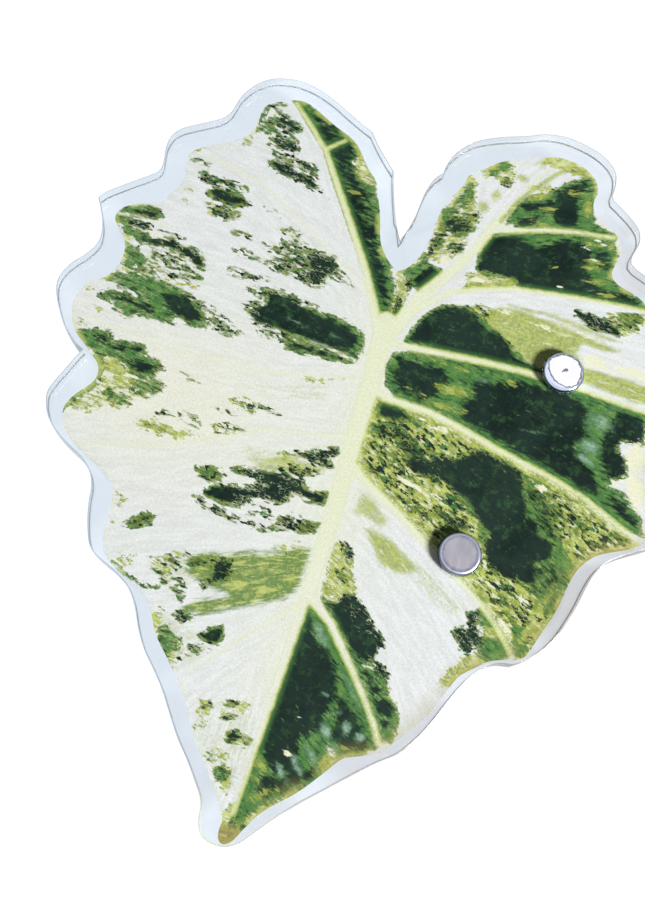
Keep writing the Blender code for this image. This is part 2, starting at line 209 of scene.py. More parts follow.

# Patches of ink, read one by one: strength (1 is solid, 0.5 is half chips), softness in mm, corners in mm
DARK_PATCHES = [
    # left lobe, beside the notch
    (0.8, 0.7, [(-0.4, 4.6), (-3, 7.6), (-5.6, 11.8), (-8.6, 16), (-11, 19.8), (-11.6, 21.6), (-10, 21.2),
     (-9, 20.2), (-7.4, 19.6), (-6.4, 18.2), (-6, 16), (-5, 14.4), (-4.6, 12.6), (-3.4, 10.6), (-2.2, 8.8),
     (-0.8, 7)]),
    (0.72, 0.5, [(-0.4, 4.6), (-3, 7.6), (-5.6, 11.8), (-8.6, 16), (-11, 19.8), (-12.6, 22.4), (-14.8, 25.2),
     (-17.6, 28), (-14.6, 27.4), (-11.8, 26), (-10.4, 25), (-9.8, 23.6), (-9.6, 21.8), (-8.2, 20.2),
     (-6.4, 19.4), (-5.6, 18), (-4.8, 16), (-4, 13.6), (-3.2, 11.8), (-2, 10.2), (-0.8, 7.8), (-0.2, 6)]),
    (1.05, 0.4, [(-12.8, 22.6), (-11.6, 24.2), (-10.6, 23.9), (-10, 22.6), (-11, 22)]),
    (0.95, 0.5, [(-15.8, 26), (-14.4, 26.4), (-12.8, 25.6), (-12.6, 24.8), (-14, 24)]),
    # left lobe, cream side
    (1.0, 0.5, [(-22, 27.1), (-19.8, 26.4), (-17.3, 25.3), (-17.1, 24.6), (-18.6, 24.3), (-20, 24.8),
     (-21.2, 24.8), (-20.6, 25.6)]),
    (0.62, 0.5, [(-21.8, 25.2), (-19.6, 25.2), (-17.6, 24.6), (-17.4, 23.2), (-19.4, 23), (-21.2, 23.2)]),
    (1.1, 0.5, [(-20.6, 22.5), (-19.5, 23.1), (-17.3, 23), (-16.8, 22.3), (-16.9, 21.5), (-18.2, 21.3),
     (-19.6, 21.6)]),
    (0.85, 0.6, [(-20.6, 21.5), (-18.4, 21.2), (-16.6, 20.6), (-14.4, 20.6), (-13.4, 19.6), (-13.4, 18.8),
     (-15.5, 19.4), (-18, 20.2), (-20, 20.7)]),
    (1.05, 0.5, [(-20.1, 19.3), (-18.6, 19.8), (-17, 19.7), (-15.3, 19.1), (-14, 18.7), (-12.4, 17.4),
     (-13.6, 17.4), (-15, 17.9), (-17.5, 18), (-19, 18.5)]),
    (0.95, 0.5, [(-27.7, 14.9), (-26.9, 15.7), (-25.6, 15), (-24.5, 15.3), (-21.4, 15), (-21.2, 14.6),
     (-22.6, 14.4), (-24, 14.5), (-25.5, 14.1), (-27, 14.1)]),
    (1.05, 0.6, [(-25.4, 13.9), (-23, 13.9), (-21.4, 13.5), (-20.4, 12.9), (-21.4, 12.4), (-22.6, 12.1),
     (-24.5, 12.3), (-25.8, 12.7)]),
    (0.75, 0.6, [(-25.6, 11.2), (-23.5, 11.9), (-21.4, 11.6), (-21.2, 10.7), (-23, 9.9), (-24.6, 10.3)]),
    (0.65, 0.4, [(-29.2, 16.5), (-28, 17), (-26, 16.6), (-25.8, 16.2), (-27.6, 16.2)]),
    (0.85, 0.5, [(-33.8, 7.4), (-32.4, 8), (-31, 8.6), (-30, 8.2), (-30.6, 7.6), (-32, 7.2)]),
    (1.0, 0.4, [(-34.3, 6.4), (-33, 6.8), (-31.3, 6.5), (-30.6, 6.1), (-31.8, 5.5), (-33.8, 5.6)]),
    (0.65, 0.4, [(-30.5, 6.4), (-28, 6.4), (-26.4, 6.0), (-28.5, 5.7), (-30, 6)]),
    (1.1, 0.5, [(-32, 4.8), (-30.4, 4.9), (-29, 5.6), (-27.6, 5.6), (-27, 5), (-25, 5), (-24, 4.6),
     (-23.1, 3.4), (-23.2, 2.8), (-24.5, 3), (-25.4, 3.7), (-27, 4.1), (-28.5, 4.2), (-30, 3.9),
     (-31.4, 4.2)]),
    (0.5, 0.6, [(-30, 3.5), (-27, 3.7), (-24.6, 2.7), (-22.9, 1.8), (-23, 0.2), (-27, 0.3), (-31, 0.2),
     (-29.5, 2)]),
    # middle of the cream half
    (0.55, 0.5, [(-16.5, 10.8), (-14.6, 11.6), (-12.8, 11.2), (-13.2, 10.5), (-15, 10.3)]),
    (0.7, 0.6, [(-15, 10.1), (-13, 10), (-11, 9.6), (-9, 9.8), (-8, 9.2), (-7.5, 8), (-6.4, 7.4), (-5, 6.2),
     (-6.6, 6.4), (-8, 6.9), (-8.4, 6), (-8.2, 5.2), (-9.8, 4.7), (-12.5, 5.3), (-14.5, 5.2), (-16.8, 5.8),
     (-16, 6.7), (-14.4, 6.9), (-16, 7.6), (-17.2, 8.4), (-15.4, 8.6)]),
    (1.0, 0.6, [(-12, 9), (-9.5, 9.6), (-8, 9), (-7.6, 7.6), (-8.4, 6.4), (-8.4, 5.3), (-10, 5), (-11.6, 5.6),
     (-11, 7)]),
    (0.48, 0.5, [(-20.8, 6.9), (-19, 7), (-17, 6.5), (-17.2, 5.7), (-19, 5.8), (-20.4, 6.2)]),
    (0.42, 0.5, [(-22, 8.8), (-20, 9.3), (-18.4, 9), (-18.8, 8.1), (-21, 8.2)]),
    (0.4, 0.4, [(-19, 13.4), (-17.5, 13.3), (-15.8, 13), (-16, 12.3), (-18.2, 12.4)]),
    (0.52, 0.4, [(-20.4, 4.2), (-17.5, 4.4), (-15, 4.2), (-14, 3.4), (-16, 3.5), (-18, 3.1), (-20.2, 3)]),
    (1.2, 0.6, [(-15.6, 2.6), (-13.5, 3), (-11, 2.8), (-10, 1.9), (-7, 1.2), (-4.5, 1), (-3, 0.4),
     (-2.7, -0.8), (-3.4, -1.8), (-6, -1.9), (-9, -1.6), (-11, -1.9), (-13, -1.7), (-15, -1.9), (-16.6, -0.7),
     (-15, 0.3), (-14, 1.4)]),
    (0.75, 0.4, [(-11, -2.5), (-8, -2.6), (-5, -2.7), (-2.8, -3.2), (-6, -3.6), (-10.6, -3.8)]),
    (0.58, 0.4, [(-14.8, -2.1), (-12, -1.9), (-10, -2.4), (-11, -3.4), (-13.4, -3.4), (-14.6, -2.8)]),
    (0.65, 0.4, [(-17.8, 2.1), (-16, 2.8), (-15, 2.3), (-15.4, 1.3), (-17.4, 1.4)]),
    (0.52, 0.4, [(-11, 2.8), (-8.2, 2.6), (-8.4, 1.9), (-11, 1.9)]),
    (0.55, 0.4, [(-17.4, 0.2), (-15.4, 0.9), (-14.6, 0.1), (-16.6, -0.1)]),
    (1.15, 0.5, [(-27, -1.7), (-25, -1.2), (-23.4, -1.1), (-22.8, -2), (-22, -2.7), (-21.2, -3.4),
     (-22.6, -3.9), (-25, -3.6), (-26, -2.9)]),
    (0.85, 0.5, [(-33.8, -3.9), (-32, -3.5), (-30, -3.2), (-28, -3.6), (-26, -4.2), (-28, -4.7), (-30, -4.4),
     (-32, -4)]),
    (0.5, 0.5, [(-25, -0.5), (-22.5, -0.8), (-20, -1.7), (-18.4, -2.3), (-19.4, -3), (-21.5, -2.6),
     (-23, -1.5)]),
    (0.65, 0.5, [(-21.2, -2.5), (-18.8, -2.5), (-17, -3.1), (-15.7, -3.9), (-17.2, -4.4), (-19.6, -4.5),
     (-20.4, -3.4)]),
    (0.8, 0.4, [(-33, -9), (-31.2, -8.6), (-31, -9.4), (-29.6, -9.5), (-27, -9.1), (-26.6, -9.6),
     (-28.6, -10), (-30, -10.2), (-32.6, -10)]),
    (0.85, 0.5, [(-28, -11.2), (-26, -10.6), (-24, -10.6), (-24.4, -11.4), (-25.4, -12), (-27.4, -12)]),
    (0.45, 0.4, [(-15.2, -11.8), (-13.6, -11.5), (-12, -11.7), (-11.8, -12.8), (-13.4, -12.7), (-15, -12.3)]),
    (0.6, 0.3, [(-11.6, -11.5), (-9.6, -11.8), (-8.4, -12.1), (-10, -12.3), (-11.4, -12.1)]),
    (0.5, 0.3, [(-17, -13), (-15.6, -13.3), (-13.4, -13.7), (-15.2, -14.1), (-16.8, -13.7)]),
    (0.55, 0.4, [(-16.4, -15.6), (-14.4, -14.9), (-11.6, -15), (-13.4, -15.8), (-15.4, -16.5)]),
    (0.3, 0.5, [(-23, -15.4), (-20, -15), (-17.5, -15), (-17, -16.7), (-19, -16.7), (-21, -16.2),
     (-23, -17)]),
    (0.28, 0.4, [(-24.6, -17.8), (-22, -17.5), (-19.4, -17.4), (-21, -18.2), (-24, -18.5)]),
    (0.26, 0.4, [(-22.4, -10.2), (-19.4, -10.7), (-17, -10.5), (-18, -11.3), (-20.4, -11.7)]),
    # beside the midrib
    (0.9, 0.4, [(-5.8, -15.9), (-4.6, -15.6), (-3, -14.6), (-1, -13.9), (-0.6, -14.5), (-1.6, -15.6),
     (-0.8, -16.4), (-2.4, -16.6), (-4, -16.5), (-6.6, -16.3)]),
    (0.52, 0.4, [(-6, -17.4), (-3.6, -16.8), (-1.6, -17.3), (-3.6, -18.6), (-6.4, -19), (-8, -18.9)]),
    (1.15, 0.5, [(-12.4, -20.2), (-10.8, -19.5), (-8.6, -19.4), (-6, -18.8), (-4, -19), (-3.4, -19.8),
     (-1.6, -20), (-0.6, -19.6), (-0.6, -20.9), (-2, -21), (-4.4, -20.9), (-5.2, -21.3), (-4.9, -21.8),
     (-5.8, -22.4), (-8, -22.3), (-9.4, -22.8), (-9.2, -24.2), (-11, -24.2), (-14.6, -24.2), (-13.8, -23),
     (-12, -22.2), (-9.6, -21.6), (-7.6, -20.8), (-10, -20.5)]),
    (0.75, 0.5, [(-16.3, -21.2), (-15.2, -20.7), (-13.6, -20.5), (-12.6, -21.2), (-13.6, -22), (-12, -22.4),
     (-14.6, -22.4), (-16, -21.6)]),
    (0.62, 0.4, [(-15.6, -24.5), (-13.6, -24.5), (-11, -25.1), (-9, -25.4), (-7, -25.5), (-3.8, -25.1),
     (-6.4, -26.2), (-9.4, -26.1), (-13, -25.9), (-14.8, -25.2)]),
    (0.75, 0.5, [(-6.4, -24.4), (-4, -23.2), (-2.2, -23.4), (-0.3, -23.3), (-0.8, -24.4), (-2.4, -25.1),
     (-5, -25.1)]),
    (0.4, 0.5, [(-9, -23.2), (-6.4, -23), (-6, -24.6), (-9, -25)]),
    # lower left
    (1.0, 0.5, [(-10.4, -30.6), (-9, -30.4), (-8.8, -31.4), (-7.6, -31.3), (-8.6, -32.6), (-9.8, -33.6),
     (-11, -34.6), (-11.6, -34.2), (-10.6, -32.8), (-11, -31.6)]),
    (0.85, 0.5, [(-13.8, -32), (-12.6, -31.2), (-11.2, -30.8), (-11.6, -31.6), (-12.8, -32.6), (-13.6, -33)]),
    (0.8, 0.3, [(-8.8, -35.3), (-8, -35.2), (-8, -35.7), (-8.8, -35.8)]),
    (0.95, 0.4, [(-13.6, -38.2), (-12.6, -37.7), (-11, -37.9), (-11.4, -38.6), (-12.2, -38.8),
     (-13.4, -38.4)]),
    (0.8, 0.3, [(-17.6, -34.2), (-16.2, -33.8), (-15.3, -34.8), (-15.6, -35.2), (-16.4, -34.6)]),
    (0.42, 0.6, [(-18, -32.8), (-15.6, -31.3), (-13.4, -30.7), (-14.2, -32.6), (-12.8, -35), (-12.8, -37),
     (-14.6, -35.6), (-16, -33.4)]),
    (1.0, 0.4, [(-9.8, -39.6), (-9, -38.8), (-7.8, -38.1), (-7.3, -38.8), (-7.5, -39.9), (-8.4, -40.1),
     (-9.2, -39.9)]),
    (0.75, 0.4, [(-10.6, -41), (-9.4, -40.7), (-8, -40.7), (-8.6, -41.5), (-10.2, -42.2), (-11, -43.1),
     (-11.6, -42.8), (-10.8, -42)]),
    (0.9, 0.4, [(-20, -28.2), (-18.9, -27.8), (-19.2, -28.9), (-20, -29.4), (-20.8, -30), (-22, -30.2),
     (-21.2, -29.3)]),
    (0.6, 0.3, [(-4.8, -46.3), (-4.2, -45.3), (-3.1, -45.5), (-3.8, -46.2)]),
    (0.58, 0.3, [(-4.8, -47.4), (-4, -46.8), (-2.9, -47), (-4.2, -47.8)]),
    (0.55, 0.4, [(-7.3, -46.8), (-6.4, -46.2), (-5.9, -46.9), (-7, -47.3)]),
    (0.95, 0.3, [(-3.7, -49.2), (-2.8, -48.4), (-1.6, -48.8), (-2.4, -49.9), (-3.4, -49.9)]),
    (0.6, 0.3, [(-2, -48.8), (-0.5, -48.7), (-0.7, -49.8), (-2, -49.7)]),
    (0.6, 0.3, [(-5.1, -51.8), (-4, -50.9), (-3.3, -51.2), (-4.6, -52.4)]),
    (0.8, 0.3, [(-3.4, -53), (-2.8, -52.6), (-2.2, -53), (-2.6, -53.6)]),
    # triangle at the tip and the branch beside it
    (1.25, 1.0, [(0.9, -33.6), (2, -34), (3.2, -36.6), (5, -37.4), (6.4, -40), (6.4, -42.6), (6, -44.6),
     (6.6, -45.4), (5.2, -46.2), (4, -48), (4.2, -50.6), (3.6, -51.4), (2.6, -51.6), (1.4, -50.4), (0.6, -49),
     (0.6, -42)]),
    (1.0, 0.6, [(7, -41.6), (8.6, -42.4), (10.4, -43.8), (12, -45.4), (11.6, -46.4), (9.6, -47.2),
     (7.6, -46.8), (7.6, -44.6)]),
    (0.85, 0.5, [(4.6, -49.6), (5.6, -50.6), (7, -49.6), (7.2, -50.6), (4.6, -52.8), (2.4, -54.8),
     (0.8, -54.4), (0.6, -52.6), (2.6, -52.2), (4.2, -51.4)]),
    (1.2, 0.35, [(2.6, -32), (4.2, -31.6), (4.4, -30.4), (5.8, -30.2), (7.2, -31), (8.2, -32.2), (9.2, -33.2),
     (10.3, -34), (10.8, -34.8), (10, -35.2), (10, -36.4), (9.6, -37), (8.2, -36.8), (6.8, -35.8), (5, -33.8),
     (3.4, -32.4)]),
    (1.1, 0.35, [(10.1, -37), (10.8, -36.6), (12, -37.6), (12.3, -38.2), (11.2, -38.4), (10.3, -37.8)]),
    (0.95, 0.4, [(8.6, -37.6), (9.6, -38.2), (10.4, -38.5), (10.8, -39.1), (12, -39.1), (11.8, -40),
     (10.9, -40.4), (9.6, -38.8)]),
    (1.0, 0.4, [(11, -40.9), (12.2, -40.4), (13.3, -40.5), (13.7, -41.6), (12.8, -42.3), (11.8, -41.8)]),
    (0.8, 0.4, [(12, -42.5), (13.4, -42.5), (13.5, -43.6), (12.6, -43.6)]),
    (0.9, 0.4, [(2.3, -24.6), (3.6, -24.8), (4.3, -25.8), (4.2, -26.8), (3.3, -26), (2.5, -25.2)]),
    (0.8, 0.4, [(2.3, -27.7), (3.6, -27.6), (4.6, -28.6), (5.8, -29.7), (4.8, -29.5), (3.4, -28.7)]),
    (1.0, 0.4, [(18.4, -28.6), (19.2, -28), (20.2, -27.2), (20.6, -28.4), (20, -29.4), (21, -30),
     (21.6, -31.2), (20.6, -32), (20, -32.9), (18.8, -32.4), (17.6, -31), (18, -30.2), (19.2, -30),
     (19, -29.2)]),
    # lower right
    (1.15, 0.5, [(14.2, -9.3), (16, -9.1), (18, -9.4), (20.6, -10.2), (21.4, -11), (21.4, -12.6), (22, -13.6),
     (22.6, -15.4), (24, -15.6), (24.4, -17), (26.4, -17.6), (26.4, -19.6), (24.6, -20.6), (25.4, -22.2),
     (24.8, -23.2), (23.4, -23), (22.4, -23.2), (20.6, -22.8), (19.4, -22), (18.6, -20), (19, -18.6),
     (17.2, -17.4), (16.4, -16.4), (15.2, -15.2), (13.2, -14.8), (11, -14), (8.4, -14.2), (7, -13.2),
     (7.6, -12), (9.6, -12), (11, -11), (12.4, -11), (14, -10.4)]),
    (0.85, 0.4, [(2.4, -9.8), (5, -9.2), (8, -10.2), (8.2, -10.9), (10.4, -11), (8.6, -12.2), (6.4, -12.2),
     (5.4, -11.4), (3.4, -10.9)]),
    (0.95, 0.4, [(2.6, -6.9), (4.4, -6.9), (6.6, -7.9), (5.4, -8.2), (4.4, -8.8), (2.6, -8.4)]),
    (0.58, 0.5, [(2.2, -11.8), (5, -12.2), (7.4, -13), (7.6, -14.2), (5, -14.2), (3.4, -13.2)]),
    (0.65, 0.4, [(3, -15.1), (5, -15.1), (7.2, -15.7), (7, -16.5), (5.6, -16.3), (3.6, -15.8)]),
    (0.68, 0.4, [(6.8, -17.1), (8.6, -17.3), (10.4, -17.8), (12, -18.8), (10, -18.7), (8, -18.1)]),
    (0.85, 0.5, [(12, -17.2), (14, -17.4), (16.2, -18), (17, -19.2), (15.6, -19.4), (13.6, -20), (13, -21.2),
     (12.2, -20.4), (13.4, -18.8), (11.8, -18)]),
    (0.62, 0.6, [(21.6, -11.2), (24.4, -11.6), (25.4, -13.4), (27, -13.6), (29, -12.6), (29.8, -14.6),
     (29, -16), (26.6, -17.4), (24.4, -16.4), (23.6, -13.8), (22, -13.4)]),
    (0.65, 0.4, [(33, -13.7), (35, -14.3), (35.3, -15), (34.2, -15.3)]),
    (0.75, 0.4, [(30.4, -15.7), (32.4, -15.8), (32.9, -16.6), (31, -16.7)]),
    (0.6, 0.5, [(20.4, -24.7), (22.6, -25.1), (24, -26.4), (26, -26.5), (26.2, -28.1), (24.4, -27.5),
     (22.4, -26.7), (20.8, -25.9)]),
    (0.58, 0.5, [(25, -20), (28.4, -20), (28.2, -24.4), (26, -24.2), (24.6, -23)]),
    (0.5, 0.5, [(24.4, -24.2), (27, -24.6), (26.4, -26.4), (24.6, -25.6)]),
    # between the two right veins
    (1.2, 0.8, [(2.9, -1), (5, -0.5), (8.4, -0.7), (9.6, -2), (8.6, -2.6), (8.2, -4.2), (6.6, -5), (4, -4.7),
     (2.8, -3.2)]),
    (1.2, 0.9, [(12.6, -1), (15.4, -0.4), (16.4, 0.2), (20, 0.9), (25, 0.7), (26.6, -0.6), (26.4, -3),
     (27.2, -3.6), (26.2, -5), (26.6, -6.6), (29, -8), (30.4, -10), (28.4, -10), (24, -8.9), (21, -8.2),
     (17, -7.1), (12.4, -6), (11.8, -4), (12.8, -3)]),
    (1.15, 0.6, [(30, 0.8), (33.4, 0.6), (33.8, -1.4), (34.1, -2.5), (31.2, -2.8), (31.1, -4.2), (32.2, -5),
     (32.9, -6.8), (31, -7.7), (29.8, -6), (29.2, -4), (29.4, -2)]),
    (0.8, 0.5, [(31, -9.6), (33, -9.8), (35, -11.4), (35.6, -12.8), (33.6, -12), (31.4, -10.8)]),
    (1.2, 0.45, [(3.4, 1.9), (3.8, 3.2), (5, 5.8), (6.5, 7.2), (9, 7.8), (10.6, 7.2), (11, 6.4), (12.4, 5.8),
     (14, 5.6), (15.2, 5), (15.6, 4), (16.6, 3.6), (18, 3.1), (20, 2.8), (16, 2.3), (12, 2.2), (8, 1.8)]),
    (0.9, 0.3, [(10, 8.7), (11.4, 8.6), (12.5, 7.9), (11.6, 7.3), (10.8, 7.7), (11, 8.2)]),
    (0.95, 0.35, [(22.1, 11.9), (24, 12.2), (26, 11.9), (28.5, 10.9), (28.2, 10), (26, 10.1), (24.4, 10.2),
     (22.3, 11)]),
    (0.5, 0.4, [(26.4, 12.2), (28.4, 13.4), (30.4, 13.6), (30, 11.6), (28.6, 10.9)]),
    # right lobe
    (1.2, 0.6, [(9.2, 13.4), (9, 16), (9.7, 17.9), (11, 18.7), (13, 19), (15.5, 18.4), (18, 20.4),
     (20.6, 20.9), (22.2, 20.4), (22.4, 19), (22.4, 17), (24.4, 15.6), (27, 15.8), (29.6, 15.2), (27, 14.6),
     (23, 14), (19, 13.4), (16, 12.7), (14.4, 12.9), (14, 13.8), (12, 13.5), (10.6, 13.2)]),
    (0.62, 0.5, [(22.6, 21.4), (24.6, 21), (25.2, 19.6), (25, 18), (23, 18.2), (22.6, 19.6)]),
    (1.05, 0.35, [(12.1, 20.4), (13, 22), (14.7, 23), (14.8, 21.8), (13.6, 20.8)]),
    (0.95, 0.4, [(11.9, 23.1), (13, 24.2), (15, 24.8), (15.2, 23.8), (13.6, 22.8)]),
    (1.0, 0.45, [(16.4, 23.6), (16, 25.8), (16.4, 27), (18, 28.6), (19.2, 29.4), (20.1, 28.8), (19, 27.2),
     (18.8, 26), (19.4, 24.8), (19.8, 23), (18.4, 22.4), (17, 22.6)]),
    (0.62, 0.4, [(14.6, 22.6), (15, 25.6), (16.2, 26.2), (16.6, 23.4)]),
    (0.85, 0.3, [(15.4, 27), (17.4, 27.7), (17.2, 26.8), (15.8, 26.6)]),
    (0.9, 0.3, [(21, 22.9), (23.4, 23.5), (24.7, 22.9), (23, 22.4)]),
    (1.0, 0.4, [(2, 9.6), (2.6, 11), (3.6, 12), (4.6, 11.4), (4, 9.6), (3, 8.8)]),
    (0.95, 0.4, [(3.2, 18.4), (4, 19.2), (5.4, 19.6), (6.4, 19.6), (7, 18.4), (6.4, 17.6), (5, 16.9),
     (4, 17.2)]),
    (0.85, 0.4, [(4.8, 15.4), (5.6, 16.2), (6.7, 15.9), (6.8, 14.9), (5.6, 14.6), (4.8, 14.9)]),
    (0.5, 0.5, [(2.6, 13), (4, 14), (4.4, 17), (4, 18), (3, 18), (2.6, 15.6)]),
    (0.45, 0.5, [(5, 20), (7.2, 21), (7.8, 19.4), (6.6, 19)]),
    (0.8, 0.3, [(8.8, 26.2), (9.6, 26.9), (10.6, 26.2), (10.2, 25.1), (9.2, 25.3)]),
    (0.9, 0.2, [(0.6, 7.2), (1.3, 6.4), (1.4, 5.2), (0.9, 3.6), (0.5, 3.8), (0.4, 5.4)]),
    (0.85, 0.2, [(1, 9), (1.5, 9.8), (1.9, 8.4), (1.7, 7.4)]),
]

